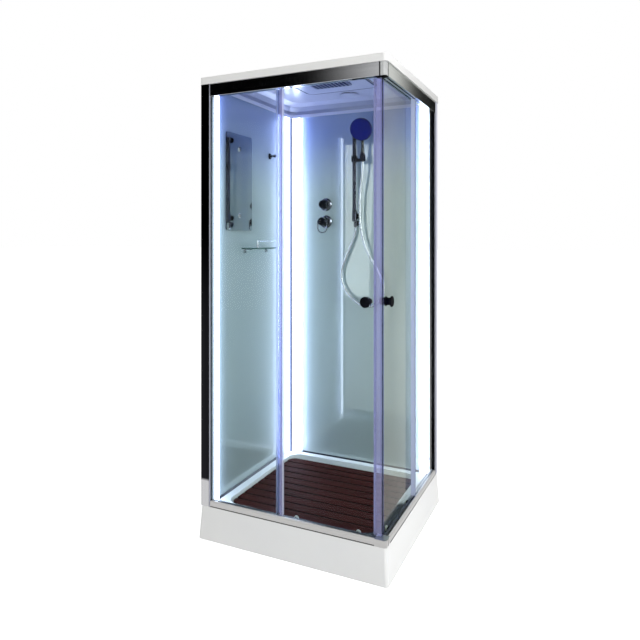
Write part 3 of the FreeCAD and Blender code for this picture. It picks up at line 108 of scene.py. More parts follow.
def blendColours(tree, shader, factor, first, second):  # first where factor is 0, second where it is 1
    mix = addNode(tree, "ShaderNodeMix", {"Factor": factor}, data_type="RGBA")
    for socket, colour in (("A", first), ("B", second)):
        if isinstance(colour, str):
            mix.inputs[socket].default_value = linear(colour)
        else:
            tree.links.new(colour, mix.inputs[socket])
    tree.links.new(mix.outputs["Result"], shader.inputs["Base Color"])


def blendShaders(tree, factor, first, second):  # as above, with shaders, straight to the output
    mix = addNode(tree, "ShaderNodeMixShader", {0: factor, 1: first.outputs[0], 2: second.outputs[0]})
    tree.links.new(mix.outputs[0], tree.nodes["Material Output"].inputs["Surface"])


def objectPlace(tree):  # the node whose outputs X, Y and Z are the surface's place in its node, in metres
    coord = addNode(tree, "ShaderNodeTexCoord")
    return addNode(tree, "ShaderNodeSeparateXYZ", {"Vector": coord.outputs["Object"]})


# Materials, each from what the real piece is made of
acrylic = {"low": "E9E9E8", "high": "EDEDEB", "roughness": 0.22, "ceilingRoughness": 0.3, "ior": 1.49,
           "peel": 0.006}  # forming leaves waves about 6 mm wide


def formedAcrylic():
    # vacuum formed acrylic sheet: white, glossy, with the faint orange peel that forming leaves
    material, tree, shader = newMaterial("formedAcrylic", {
        "Roughness": acrylic["roughness"], "IOR": acrylic["ior"], "Coat Weight": 0.3, "Coat Roughness": 0.08})
    shadeVariation(tree, shader, acrylic["low"], acrylic["high"], 0.3)
    surfaceBump(tree, shader, acrylic["peel"], 0.00002)
    return material


def ceilingAcrylic(name, low, high):
    # the same sheet in the roof, with the cabin's lavender LED light painted into its colour, and painted
    # shade deeper in its coves
    material, tree, shader = newMaterial(name, {
        "Roughness": acrylic["ceilingRoughness"], "IOR": acrylic["ior"], "Coat Weight": 0.2,
        "Coat Roughness": 0.1})
    shadeVariation(tree, shader, low, high, 0.15)
    surfaceBump(tree, shader, acrylic["peel"], 0.00004)
    return material


# die lines lie some 0.2 mm apart on a real profile; they are drawn at 1.2 mm, so that they show
extrusion = {"lines": 0.0012, "depth": 0.00001, "streaks": 0.02, "stretch": 0.01}


def extrudedMetal(name, low, high, roughness, along):
    # extruded aluminium: faint die lines run along the profile, along is 0, 1 or 2 for X, Y or Z
    material, tree, shader = newMaterial(name, {"Metallic": 1.0, "Roughness": roughness})
    stretch = [1.0, 1.0, 1.0]
    stretch[along] = extrusion["stretch"]
    shadeVariation(tree, shader, low, high, extrusion["streaks"], tuple(stretch))
    surfaceBump(tree, shader, extrusion["lines"], extrusion["depth"], tuple(stretch))
    return material


# the front post's painted dark reflection stops above the tray, and below it a pale colour paints the
# reflection of the pale tray
postFootReflection = {"height": 0.272, "blend": 0.012, "colour": "C6C6C8"}


def reflectionPaintedPost(name, low, high, roughness):
    material = extrudedMetal(name, low, high, roughness, 2)
    tree = material.node_tree
    shader = tree.nodes["Principled BSDF"]
    black = shader.inputs["Base Color"].links[0].from_socket
    # painted reflection: pale below this height, near black above
    above = addNode(tree, "ShaderNodeMapRange", {"Value": objectPlace(tree).outputs["Z"],
                                                 "From Min": postFootReflection["height"],
                                                 "From Max": postFootReflection["height"] + postFootReflection["blend"]})
    blendColours(tree, shader, above.outputs["Result"], postFootReflection["colour"], black)
    return material


wiping = {"size": 0.012, "least": 0.7, "most": 1.6}  # wiped spots, and how they change the roughness


def polishedPlate(name, low, high, roughness=0.07):
    # chromium plate: mirror bright over polished metal or plastic, with a trace of wiping marks
    material, tree, shader = newMaterial(name, {"Metallic": 1.0, "Roughness": roughness})
    shadeVariation(tree, shader, low, high, 0.03)
    coord = addNode(tree, "ShaderNodeTexCoord")
    noise = addNode(tree, "ShaderNodeTexNoise", {"Vector": coord.outputs["Object"],
                                                 "Scale": 1 / wiping["size"]})
    spread = addNode(tree, "ShaderNodeMapRange", {"Value": noise.outputs["Fac"],
                                                  "To Min": roughness * wiping["least"],
                                                  "To Max": roughness * wiping["most"]})
    tree.links.new(spread.outputs["Result"], shader.inputs["Roughness"])
    return material


glassIor = 1.12  # lower than glass's 1.5, so the white studio lays no veil over the cabin's inside


def throughGlass(name, tint, shadowTint):
    # toughened float glass: clear, faintly green; the lamps' light passes straight through it
    material, tree, shader = newMaterial(name, {
        "Base Color": tint, "Roughness": 0.0, "IOR": glassIor, "Transmission Weight": 1.0})
    path = addNode(tree, "ShaderNodeLightPath")
    soft = addNode(tree, "ShaderNodeMath", {0: path.outputs["Is Shadow Ray"],
                                            1: path.outputs["Is Diffuse Ray"]}, operation="MAXIMUM")
    clear = addNode(tree, "ShaderNodeBsdfTransparent", {"Color": linear(shadowTint)})
    blendShaders(tree, soft.outputs[0], shader, clear)
    return material


# the blue near the ceiling is painted light from the cabin's ceiling
wallPaintAndBlueLight = {"low": "9FABAA", "high": "7C8BB8", "from": 1.6, "to": 2.1}  # heights where the shade changes


def backPaintedGlass():
    # toughened glass with paint fired on its back: sea grey paint, turning blue near the ceiling where the
    # cabin's blue ceiling light is painted into it, under a hard clear gloss that mirrors the light strips
    material, tree, shader = newMaterial("backPaintedGlass", {
        "Roughness": 0.3, "IOR": 1.5, "Coat Weight": 1.0, "Coat Roughness": 0.01, "Coat IOR": 1.8})
    height = addNode(tree, "ShaderNodeMapRange", {"Value": objectPlace(tree).outputs["Z"],
                                                  "From Min": wallPaintAndBlueLight["from"],
                                                  "From Max": wallPaintAndBlueLight["to"]},
                     interpolation_type="SMOOTHSTEP")
    blendColours(tree, shader, height.outputs["Result"], wallPaintAndBlueLight["low"], wallPaintAndBlueLight["high"])
    return material


def sealPlastic(name, low, high, through):  # through is the share of light that goes straight through
    # clear soft PVC extrusion: mostly see-through, its milky part glows lavender in the cabin's light
    material, tree, shader = newMaterial(name, {"Roughness": 0.16, "IOR": 1.53})
    shadeVariation(tree, shader, low, high, 0.05, (1, 1, 0.02))
    clear = addNode(tree, "ShaderNodeBsdfTransparent", {"Color": linear("E6E8F8")})
    blendShaders(tree, through, shader, clear)
    return material


def opalDiffuser(name, colour, strength):
    # opal polycarbonate lit from behind, white on its face, bluer on the leg at its side; its drawing
    # lines are real at 2 mm
    material, tree, shader = newMaterial(name, {
        "Base Color": "E4EAF6", "Roughness": 0.35, "IOR": 1.58, "Emission Color": colour,
        "Emission Strength": strength})
    surfaceBump(tree, shader, 0.002, 0.00003, (1, 1, 0.02))
    return material


# half, corner and width are the panel's half side, the radius of its corners and the width of the dark line
# round it, the gap's shade painted on
panelEdgeShade = {"centre": (0.027, -0.039, 0.0), "half": 0.197, "corner": 0.045, "width": 0.013,
              "colour": "3A3E5A"}


def ceilingPanel(name, low, high):
    # the ceiling's square panel: the same formed acrylic with the cabin's lavender LED light painted into its
    # colour, and a dark line round its edge that paints the shade of the gap there
    material, tree, shader = newMaterial(name, {"Roughness": acrylic["ceilingRoughness"],
                                                "IOR": acrylic["ior"]})
    shadeVariation(tree, shader, low, high, 0.35)
    straight = panelEdgeShade["half"] - panelEdgeShade["corner"]
    coord = addNode(tree, "ShaderNodeTexCoord")
    offset = addNode(tree, "ShaderNodeVectorMath", {0: coord.outputs["Object"], 1: panelEdgeShade["centre"]},
                     operation="SUBTRACT")
    flat = addNode(tree, "ShaderNodeVectorMath", {0: offset.outputs["Vector"], 1: (1.0, 1.0, 0.0)},
                   operation="MULTIPLY")
    mirrored = addNode(tree, "ShaderNodeVectorMath", {0: flat.outputs["Vector"]}, operation="ABSOLUTE")
    past = addNode(tree, "ShaderNodeVectorMath", {0: mirrored.outputs["Vector"],
                                                  1: (straight, straight, 0.0)}, operation="SUBTRACT")
    outward = addNode(tree, "ShaderNodeVectorMath", {0: past.outputs["Vector"], 1: (0.0, 0.0, 0.0)},
                      operation="MAXIMUM")
    reach = addNode(tree, "ShaderNodeVectorMath", {0: outward.outputs["Vector"]}, operation="LENGTH")
    joint = addNode(tree, "ShaderNodeMath", {0: reach.outputs["Value"],
                                             1: panelEdgeShade["corner"] - panelEdgeShade["width"]},
                    operation="GREATER_THAN")
    line = addNode(tree, "ShaderNodeBsdfDiffuse", {"Color": linear(panelEdgeShade["colour"])})
    blendShaders(tree, joint.outputs[0], shader, line)
    return material


# the shade deepens forward, and sideways towards the right, from one place to the other
insideShade = {"dark": "20222E", "from": 0.2, "to": 0.27, "sideways": 0.6}


def shadedInside(name, pale, roughness):
    # the tray's inside and the door track, with painted shade where the front corner lies behind the rails
    material, tree, shader = newMaterial(name, {"Roughness": roughness, "IOR": acrylic["ior"]})
    place = objectPlace(tree)
    sideways = addNode(tree, "ShaderNodeMath", {0: place.outputs["X"], 1: insideShade["sideways"]},
                       operation="MULTIPLY")
    depth = addNode(tree, "ShaderNodeMath", {0: sideways.outputs[0], 1: place.outputs["Y"]},
                    operation="SUBTRACT")
    shade = addNode(tree, "ShaderNodeMapRange", {"Value": depth.outputs[0], "From Min": insideShade["from"],
                                                 "From Max": insideShade["to"]},
                    interpolation_type="SMOOTHSTEP")
    blendColours(tree, shader, shade.outputs["Result"], pale, insideShade["dark"])
    return material


# the grain runs along the slats; real pores are 0.3 mm wide and are drawn at 1.5 mm, so that they show
wood = {"grain": 0.012, "stretch": (0.05, 1, 1), "pores": 0.0015, "depth": 0.0004}


def oiledWood(name, low, high):
    # oiled hardwood: red brown, with long grain and fine pores and hardly any gloss
    material, tree, shader = newMaterial(name, {
        "Roughness": 0.6, "IOR": 1.45, "Specular IOR Level": 0.03})
    mapping, noise = shadeVariation(tree, shader, low, high, wood["grain"], wood["stretch"], 8.0)
    pores = addNode(tree, "ShaderNodeTexNoise", {"Vector": mapping.outputs["Vector"],
                                                 "Scale": 1 / wood["pores"], "Detail": 3.0})
    both = addNode(tree, "ShaderNodeMath", {0: noise.outputs["Fac"], 1: pores.outputs["Fac"]},
                   operation="ADD")
    bump = addNode(tree, "ShaderNodeBump", {"Height": both.outputs[0], "Distance": wood["depth"],
                                            "Strength": 0.8})
    tree.links.new(bump.outputs["Normal"], shader.inputs["Normal"])
    return material


postStrip = {"gasket": "3A3C4A", "strip": "C2C4CC", "from": -0.4345, "to": -0.4325}


def postSide():
    # the front post's inner side: a black gasket beside a pale extruded strip
    material, tree, shader = newMaterial("postSideStrip", {"Roughness": 0.4, "IOR": 1.5})
    strip = addNode(tree, "ShaderNodeMapRange", {"Value": objectPlace(tree).outputs["Y"],
                                                 "From Min": postStrip["from"], "From Max": postStrip["to"]})
    blendColours(tree, shader, strip.outputs["Result"], postStrip["gasket"], postStrip["strip"])
    return material


def mouldedPlastic(name, low, high, roughness, grain=0.0008, specular=0.5):
    # injection moulded plastic with the spark eroded grain of its mould, which is 0.1 mm wide and is
    # drawn at 0.8 mm, so that it shows
    material, tree, shader = newMaterial(name, {"Roughness": roughness, "IOR": 1.5,
                                                "Specular IOR Level": specular})
    shadeVariation(tree, shader, low, high, 0.03)
    surfaceBump(tree, shader, grain, 0.00003)
    return material


def silveredGlass(name, low, high):
    # silvered float glass: a clean mirror
    material, tree, shader = newMaterial(name, {"Metallic": 1.0, "Roughness": 0.01})
    shadeVariation(tree, shader, low, high, 0.4)
    return material


def castBrass(name, low, high):
    # cast and machined brass: dull yellow with the casting's grain, 1.5 mm wide
    material, tree, shader = newMaterial(name, {"Metallic": 1.0, "Roughness": 0.38})
    shadeVariation(tree, shader, low, high, 0.01)
    surfaceBump(tree, shader, 0.0015, 0.0001)
    return material


looks = {
    "acrylic": formedAcrylic(),
    # painted light: the white roof sheet's inside and the fan cover carry the lavender of the cabin's LEDs
    "ceiling": ceilingAcrylic("ceilingAcrylic", "ABABCB", "B5B5D4"),
    # a painted highlight on the rim's lower band, and painted shade on the band above it and in the cove
    "ceilingRimPaintedHighlight": ceilingAcrylic("ceilingAcrylicRimPaintedHighlight", "C2C2E0", "CCCCE8"),
    "ceilingBandPaintedShade": ceilingAcrylic("ceilingAcrylicBandPaintedShade", "8184A6", "8B8EB0"),
    "ceilingCovePaintedShade": ceilingAcrylic("ceilingAcrylicCovePaintedShade", "9092B2", "9A9CBC"),
    # painted reflection: the polished posts and head rails are coloured near black, for the dark surroundings
    # they mirror
    "postMetal": extrudedMetal("chromePostPaintedDarkReflection", "18181B", "202024", 0.1, 2),
    "postTrim": mouldedPlastic("extrudedPvcTrim", "B6B8C6", "C2C4D0", 0.4),
    "noseMetal": extrudedMetal("anodisedNose", "5E6072", "6C6E80", 0.55, 2),
    "railMetalX": extrudedMetal("polishedAluminiumRailX", "B4B5B8", "C2C3C5", 0.1, 0),
    "railMetalY": extrudedMetal("polishedAluminiumRailY", "BEC2BC", "CACDC7", 0.1, 1),
    "satinX": extrudedMetal("satinAluminiumX", "BDBCBB", "C8C7C6", 0.3, 0),
    "satinY": extrudedMetal("satinAluminiumY", "BDBCBB", "C8C7C6", 0.3, 1),
    # painted shade: the front rail's foot is coloured dark
    "shadedMetal": extrudedMetal("satinAluminiumFootPaintedShade", "5C5D5B", "686967", 0.45, 0),
    # a dark joint gasket in the corner connector's grooves, and painted shadow along the right rail's foot
    "darkGroove": mouldedPlastic("jointGasketAndPaintedFootShadow", "131316", "1C1C20", 0.5),
    "connector": polishedPlate("platedConnector", "C4C6C6", "D4D6D6", 0.15),
    "glass": throughGlass("clearFloatGlass", "F1F8F7", "E9F2F2"),
    "doorGlass": throughGlass("clearFloatGlassDoor", "E0E4D9", "E9F2F2"),
    "glassEdge": throughGlass("groundGlassEdge", "A9CFC6", "A9CFC6"),
    "paintedGlass": backPaintedGlass(),
    "seal": sealPlastic("softClearPvc", "C4C2EA", "D6D3F6", 0.74),
    "sealClear": sealPlastic("softClearPvcThin", "C4C2EA", "D6D3F6", 0.96),
    # painted shade on the closing seals' sides, and a painted highlight on the right-hand and lap seals
    "sealPaintedShade": sealPlastic("softClearPvcPaintedShade", "4A5274", "5A6284", 0.6),
    "sealPaintedHighlight": sealPlastic("softClearPvcPaintedHighlight", "DDE0F8", "ECEEFC", 0.45),
    "footStrip": mouldedPlastic("siliconeSealant", "10121C", "181B28", 0.35, 0.003),
    "diffuser": opalDiffuser("opalPolycarbonate", "DCE6FF", 7.0),
    "diffuserSide": opalDiffuser("opalPolycarbonateLeg", "C4D8FA", 1.0),
    "ledTape": mouldedPlastic("ledTape", "D9DBDD", "E6E7E8", 0.5),
    "wood": oiledWood("oiledHardwood", "260908", "3C1412"),
    # painted shade: the slats' sides and undersides are nearly black, for the shade between the slats
    "woodPaintedShade": oiledWood("oiledHardwoodPaintedShade", "070303", "0C0505"),
    "trayInside": shadedInside("formedAcrylicInsidePaintedShade", "EBEBEA", 0.22),
    "trackInside": shadedInside("trackPaintedShade", "A2A3AC", 0.4),
    "ceilingPanel": ceilingPanel("ceilingPanelAcrylic", "ABABCB", "B5B5D4"),
    # painted reflections: near black above, pale at the foot
    "reflectionPaintedPost": reflectionPaintedPost("chromePostWithPaintedReflections", "18181B", "202024", 0.1),
    "postSide": postSide(),
    # painted shade: the ceiling panel's sides are coloured dark
    "ceilingShade": mouldedPlastic("formedCeilingEdgePaintedShade", "2E3248", "3A3E56", 0.4),
    "lipPlastic": mouldedPlastic("glazingLipPvc", "DCE2EE", "E6EBF5", 0.3),
    "chrome": polishedPlate("chromiumPlate", "ABADB2", "BBBDC2"),
    # painted reflection: the chrome rosettes, lever and slide bar are coloured dark grey, for the dark
    # surroundings they mirror
    "rosettePlatePaintedReflection": polishedPlate("rosettePlatePaintedReflection", "54565E", "64666E", 0.1),
    "barPlate": polishedPlate("slideBarPaintedReflection", "2E2F37", "3C3E47", 0.1),
    "darkPlate": polishedPlate("blackNickelPlate", "121318", "1C1D25", 0.12),
    "rainPlate": mouldedPlastic("rainHeadPlate", "5C6088", "686C94", 0.3),
    "nozzleRubber": mouldedPlastic("siliconeRubberNozzle", "0E1136", "15194A", 0.6, specular=0.2),
    "faceAbs": mouldedPlastic("mouldedAbsFace", "061066", "0A1678", 0.5, specular=0.15),
    "headAbs": mouldedPlastic("mouldedAbsHead", "060E48", "0B165C", 0.25, specular=0.25),
    "blackAbs": mouldedPlastic("mouldedAbsHandle", "060608", "0B0B0F", 0.2),
    "greyAbs": mouldedPlastic("mouldedAbsGrey", "73747C", "83848C", 0.4),
    "knobFace": mouldedPlastic("lacqueredKnobFace", "060608", "0B0B0F", 0.6, specular=0.02),
    "blackRubber": mouldedPlastic("epdmRubber", "17171A", "222226", 0.7),
    "zincSteel": extrudedMetal("zincPlatedSteel", "8C9093", "A3A7AA", 0.4, 0),
    "polypropylene": mouldedPlastic("mouldedPolypropylene", "D2D4D6", "DFE1E3", 0.4),
    "nylon": mouldedPlastic("turnedNylon", "C9CAC8", "D8D9D6", 0.45),
    "mirror": silveredGlass("silveredGlass", "C9D3DA", "CFD8DE"),
    "brass": castBrass("castBrass", "A98B4E", "C2A468"),
}
print("materials made:", len(looks))

nodeLooks = {
    "tray": "acrylic", "support_frame": "zincSteel", "levelling_feet": "blackRubber",
    "waste_trap": "polypropylene", "duckboard_slats": "wood", "duckboard_bearers": "wood",
    "bottom_rail_front": "satinX", "bottom_rail_right": "satinY", "bottom_rail_corner": "satinX",
    "top_rail_front": "railMetalX", "top_rail_right": "railMetalY", "top_rail_corner": "connector",
    "post_front_left": "reflectionPaintedPost", "post_back_left": "postMetal", "post_back_right": "postMetal",
    "head_rails": "postMetal", "wall_panel_left": "paintedGlass", "wall_panel_back": "paintedGlass",
    "fixed_pane_front": "glass", "fixed_pane_right": "glass", "fixed_seals": "seal",
    "light_strips": "diffuser", "roof": "acrylic", "ceiling_panel": "ceilingPanel", "rain_head": "rainPlate",
    "water_pipes": "chrome", "fan_cover": "ceiling", "fan_housing": "greyAbs", "fan_rotor": "blackRubber",
    "power_unit": "greyAbs", "mirror": "mirror", "mirror_fixings": "chrome", "robe_hook": "darkPlate",
    "shelf_glass": "glass", "shelf_fittings": "chrome", "mixer_valve": "brass",
    "wall_outlets": "rosettePlatePaintedReflection", "diverter_knob": "darkPlate", "mixer_cap": "darkPlate",
    "mixer_lever": "rosettePlatePaintedReflection", "slide_bar": "barPlate", "slider": "darkPlate",
    "hand_holder": "darkPlate", "hand_shower": "blackAbs", "hand_shower_face": "faceAbs",
    "door_glass_front": "glass", "door_glass_right": "doorGlass", "door_seals_front": "seal",
    "door_seals_right": "seal", "door_fittings_front": "darkPlate", "door_fittings_right": "darkPlate",
}


def dressNode(name, look):
    data = nodes[name].data
    data.materials.clear()
    data.materials.append(looks[look])


def dressFaces(name, look, chosen):  # gives the faces that chosen(centre, normal) picks another material
    data = nodes[name].data
    data.materials.append(looks[look])
    index = len(data.materials) - 1
    for face in data.polygons:
        if chosen(face.center, face.normal):
            face.material_index = index


# Places in metres by which faces are picked: heights, distances from the middle, and ranges
ceilingZones = {
    "inside": 0.395, "nozzles": 2.1679,
    "levels": (("ceilingRimPaintedHighlight", 2.1095, 2.1245), ("ceilingBandPaintedShade", 2.1255, 2.1425),
               ("ceilingCovePaintedShade", 2.1435, 2.1645)),
}
sealZones = {"stripTop": 0.1605, "above": 0.17, "rightSide": 0.42, "rightLap": -0.2, "frontLap": 0.2}
stripZones = {"tape": 0.4182, "backCorner": 0.3}
postZones = {"trimFrom": -0.411, "trimFront": -0.446, "sideFrom": -0.401, "sideFront": -0.415,
             "trimRight": 0.446, "nose": (0.3845, 0.4035), "lip": (0.4155, 0.4165)}
railZones = {"corner": 0.419, "groove": (0.4188, 0.4252), "grooveFloor": (0.4485, 0.4499),
             "footTop": 0.1601, "footFace": 0.448, "track": 0.43}
smallZones = {"bearerPad": 0.1081, "drainCover": 0.1, "showerHead": 1.965, "trayInside": 0.42}
facing = 0.9  # least part of a face's normal along an axis for the face to count as facing that way
leaning = 0.5  # the same, for faces that only lean that way


def fromMiddle(c):
    return max(abs(c.x), abs(c.y))


def dressCeiling():
    # the roof's underside: faces inside its rim that look down, or at the cabin's middle
    inside = ceilingZones["inside"]
    dressFaces("roof", "ceiling", lambda c, n: fromMiddle(c) < inside and n.z < 0.2
               and n.x * c.x + n.y * c.y < 0.01)
    dressFaces("rain_head", "nozzleRubber", lambda c, n: c.z < ceilingZones["nozzles"])
    # by height, the rim's lower band gets a painted highlight, and the band and the cove get painted shade
    for look, low, high in ceilingZones["levels"]:
        dressFaces("roof", look, lambda c, n: fromMiddle(c) < inside and low < c.z < high
                   and n.x * c.x + n.y * c.y < 0)
    # the panel's sides get painted shade
    dressFaces("ceiling_panel", "ceilingShade", lambda c, n: abs(n.z) < 0.99)


def dressSeals():
    rightSide, above = sealZones["rightSide"], sealZones["above"]
    # the seals' painted highlights and painted shade, picked by place
    dressFaces("fixed_seals", "sealPaintedHighlight", lambda c, n: c.x > rightSide and c.z > above)
    dressFaces("fixed_seals", "footStrip", lambda c, n: c.z < sealZones["stripTop"])
    dressFaces("fixed_seals", "sealPaintedHighlight", lambda c, n: n.x > facing and c.x < sealZones["frontLap"]
               and c.z > above)
    dressFaces("fixed_seals", "sealPaintedShade", lambda c, n: n.x > facing and c.x > rightSide and c.z > above)
    dressFaces("door_seals_front", "sealPaintedHighlight", lambda c, n: n.x > facing and c.x < sealZones["frontLap"])
    dressFaces("door_seals_right", "sealPaintedHighlight", lambda c, n: c.y > sealZones["rightLap"])
    dressFaces("door_seals_right", "sealClear", lambda c, n: c.y < sealZones["rightLap"])


def dressLights():
    # each diffuser's leg stands across its wall, on the wall's own side of the cabin
    dressFaces("light_strips", "diffuserSide", lambda c, n: min(abs(n.x), abs(n.y)) < 0.1 and
               (abs(n.x) > facing if c.y > stripZones["backCorner"] and c.y > -c.x else abs(n.y) > facing))
    dressFaces("light_strips", "ledTape", lambda c, n: max(-c.x, c.y) > stripZones["tape"])


def dressPosts():
    noseLow, noseHigh = postZones["nose"]
    lipLow, lipHigh = postZones["lip"]
    dressFaces("post_front_left", "postTrim", lambda c, n: n.y < -facing and c.x > postZones["trimFrom"]
               and c.y < postZones["trimFront"])
    dressFaces("post_front_left", "postSide", lambda c, n: n.x > facing and c.x > postZones["sideFrom"]
               and c.y < postZones["sideFront"])
    dressFaces("post_back_right", "postTrim", lambda c, n: n.x > facing and c.x > postZones["trimRight"])
    dressFaces("post_back_left", "noseMetal", lambda c, n: abs(n.z) < leaning and noseLow < -c.x < noseHigh
               and noseLow < c.y < noseHigh)
    for name in ("post_front_left", "post_back_left", "post_back_right"):
        dressFaces(name, "lipPlastic", lambda c, n: (n.x > facing and lipLow < -c.x < lipHigh)
                   or (n.y < -facing and lipLow < c.y < lipHigh))


def dressRails():
    edge, footTop, footFace = railZones["corner"], railZones["footTop"], railZones["footFace"]
    low, high = railZones["groove"]
    floorLow, floorHigh = railZones["grooveFloor"]
    for name, metal in (("bottom_rail_corner", "satin"), ("top_rail_corner", "railMetal")):
        dressFaces(name, metal + "X", lambda c, n: n.y < -facing and c.x < edge)
        dressFaces(name, metal + "Y", lambda c, n: n.x > facing and c.y > -edge)
    dressFaces("top_rail_corner", "darkGroove", lambda c, n:
               (low < c.x < high and floorLow < -c.y < floorHigh)
               or (low < -c.y < high and floorLow < c.x < floorHigh))
    # painted shadow along both rails' feet, where they meet the tray
    dressFaces("bottom_rail_front", "shadedMetal", lambda c, n: n.y < -facing and c.y < -footFace
               and c.z < footTop)
    dressFaces("bottom_rail_right", "darkGroove", lambda c, n: n.x > facing and c.x > footFace
               and c.z < footTop)
    dressFaces("bottom_rail_front", "trackInside", lambda c, n: c.y > -railZones["track"])
    dressFaces("bottom_rail_right", "trackInside", lambda c, n: c.x < railZones["track"])


def dressGlassEdges():
    for side, along in (("front", 0), ("right", 1)):
        for kind in ("fixed_pane_", "door_glass_"):
            dressFaces(kind + side, "glassEdge", lambda c, n: abs(n[1 - along]) < leaning)
    dressFaces("shelf_glass", "glassEdge", lambda c, n: abs(n.z) < leaning)


def dressSmallPieces():
    dressFaces("duckboard_bearers", "blackRubber", lambda c, n: c.z < smallZones["bearerPad"])
    # painted shade on the slats' sides
    dressFaces("duckboard_slats", "woodPaintedShade", lambda c, n: n.z < leaning)
    dressFaces("tray", "trayInside", lambda c, n: n.z > leaning or fromMiddle(c) < smallZones["trayInside"])
    dressFaces("waste_trap", "chrome", lambda c, n: c.z > smallZones["drainCover"])
    dressFaces("hand_shower", "headAbs", lambda c, n: c.z > smallZones["showerHead"])
    dressFaces("mirror", "darkPlate", lambda c, n: abs(n.x) < leaning)
    dressFaces("door_fittings_right", "knobFace", lambda c, n: n.x > leaning)


def dressAll():
    for name in nodes:
        if name in nodeLooks:
            dressNode(name, nodeLooks[name])
        elif name.startswith("door_wheel"):
            dressNode(name, "nylon")
    dressCeiling()
    dressSeals()
    dressLights()
    dressPosts()
    dressRails()
    dressGlassEdges()
    dressSmallPieces()


dressAll()
print("nodes dressed")


# Shower hose: chromed steel band wound round a plastic tube, so its outside is finely ribbed
hose = {
    "diameter": 0.014, "length": 1.40, "sides": 16, "pathStep": 9,
    "ribDepth": 0.0005, "ribPitch": 0.0036, "stepsPerRib": 3,  # a real band's turns are 2.5 to 4 mm apart
    "route": [
        (0.006, 0.398, 1.469), (0.006, 0.398, 1.429), (-0.0201, 0.397, 1.370), (-0.0521, 0.3955, 1.294),
        (-0.0819, 0.394, 1.2162), (-0.0679, 0.393, 1.134), (-0.0159, 0.392, 1.0681), (0.054, 0.391, 1.027),
        (0.122, 0.390, 1.0319), (0.171, 0.3885, 1.0902), (0.168, 0.387, 1.1658), (0.1321, 0.3855, 1.244),
        (0.0821, 0.383, 1.3231), (0.053, 0.380, 1.408), (0.041, 0.376, 1.4902), (0.038, 0.373, 1.5751),
        (0.043, 0.370, 1.6599), (0.055, 0.367, 1.7382), (0.062, 0.35957, 1.79303), (0.062, 0.35831, 1.82900),
    ],
    "staysBelow": (0.05, 0.37, 1.45), "followsAbove": (0.05, 0.37, 1.82),  # between them the hose bends
}


def hoseLine():  # the points of the hose's spline
    curve = bpy.data.curves.new("hoseRoute", "CURVE")
    curve.dimensions = "3D"
    spline = curve.splines.new("NURBS")
    spline.points.add(len(hose["route"]) - 1)
    for point, place in zip(spline.points, hose["route"]):
        point.co = (*place, 1.0)
    spline.order_u = 3
    spline.use_endpoint_u = True
    spline.resolution_u = 24
    route = bpy.data.objects.new("hoseRoute", curve)
    mesh = bpy.data.meshes.new_from_object(route)
    points = [vertex.co.copy() for vertex in mesh.vertices]
    bpy.data.objects.remove(route)
    bpy.data.meshes.remove(mesh)
    return points


def evenSteps(points, step):  # the same line as points at even steps
    total = sum((b - a).length for a, b in zip(points, points[1:]))
    count = max(2, round(total / step))
    places, done, index = [], 0.0, 0
    for k in range(count + 1):
        want = total * k / count
        while index < len(points) - 2 and done + (points[index + 1] - points[index]).length < want:
            done += (points[index + 1] - points[index]).length
            index += 1
        span = (points[index + 1] - points[index]).length
        places.append(points[index].lerp(points[index + 1], min(1.0, (want - done) / span)))
    return places


def woundTube(name, points, radius, sides):
    # a tube round the points with one rib to each turn of the band, closed at both ends
    verts, faces = [], []
    across = Vector((0, 1, 0))
    for k, place in enumerate(points):
        ahead = (points[min(k + 1, len(points) - 1)] - points[max(k - 1, 0)]).normalized()
        across = (across - ahead * across.dot(ahead)).normalized()
        other = ahead.cross(across)
        size = radius - (hose["ribDepth"] if k % hose["stepsPerRib"] == 0 else 0)
        for side in range(sides):
            angle = 2 * math.pi * side / sides
            verts.append(place + (across * math.cos(angle) + other * math.sin(angle)) * size)
    for k in range(len(points) - 1):
        for side in range(sides):
            a, b = k * sides + side, k * sides + (side + 1) % sides
            faces.append((a, b, b + sides, a + sides))
    faces.append(tuple(range(sides))[::-1])
    faces.append(tuple(range((len(points) - 1) * sides, len(points) * sides)))
    mesh = bpy.data.meshes.new(name)
    mesh.from_pydata([tuple(v) for v in verts], [], faces)
    mesh.polygons.foreach_set("use_smooth", [True] * len(faces))
    return mesh


def makeHose():
    line = evenSteps(hoseLine(), hose["ribPitch"] / hose["stepsPerRib"])
    mesh = woundTube("showerHose", line, hose["diameter"] / 2, hose["sides"])
    obj = bpy.data.objects.new("showerHose", mesh)
    bpy.context.scene.collection.objects.link(obj)
    mesh.materials.append(looks["chrome"])
    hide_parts("hose")
    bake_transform(obj)


makeHose()
print("hose made")


# Studio: a pale floor, a white surround and soft lamps
studio = {"floorHalf": 60, "floorColour": "E4E5E7", "floorGlow": 0.85, "ambient": 0.42,
          "ambientColour": "F2F2F0"}


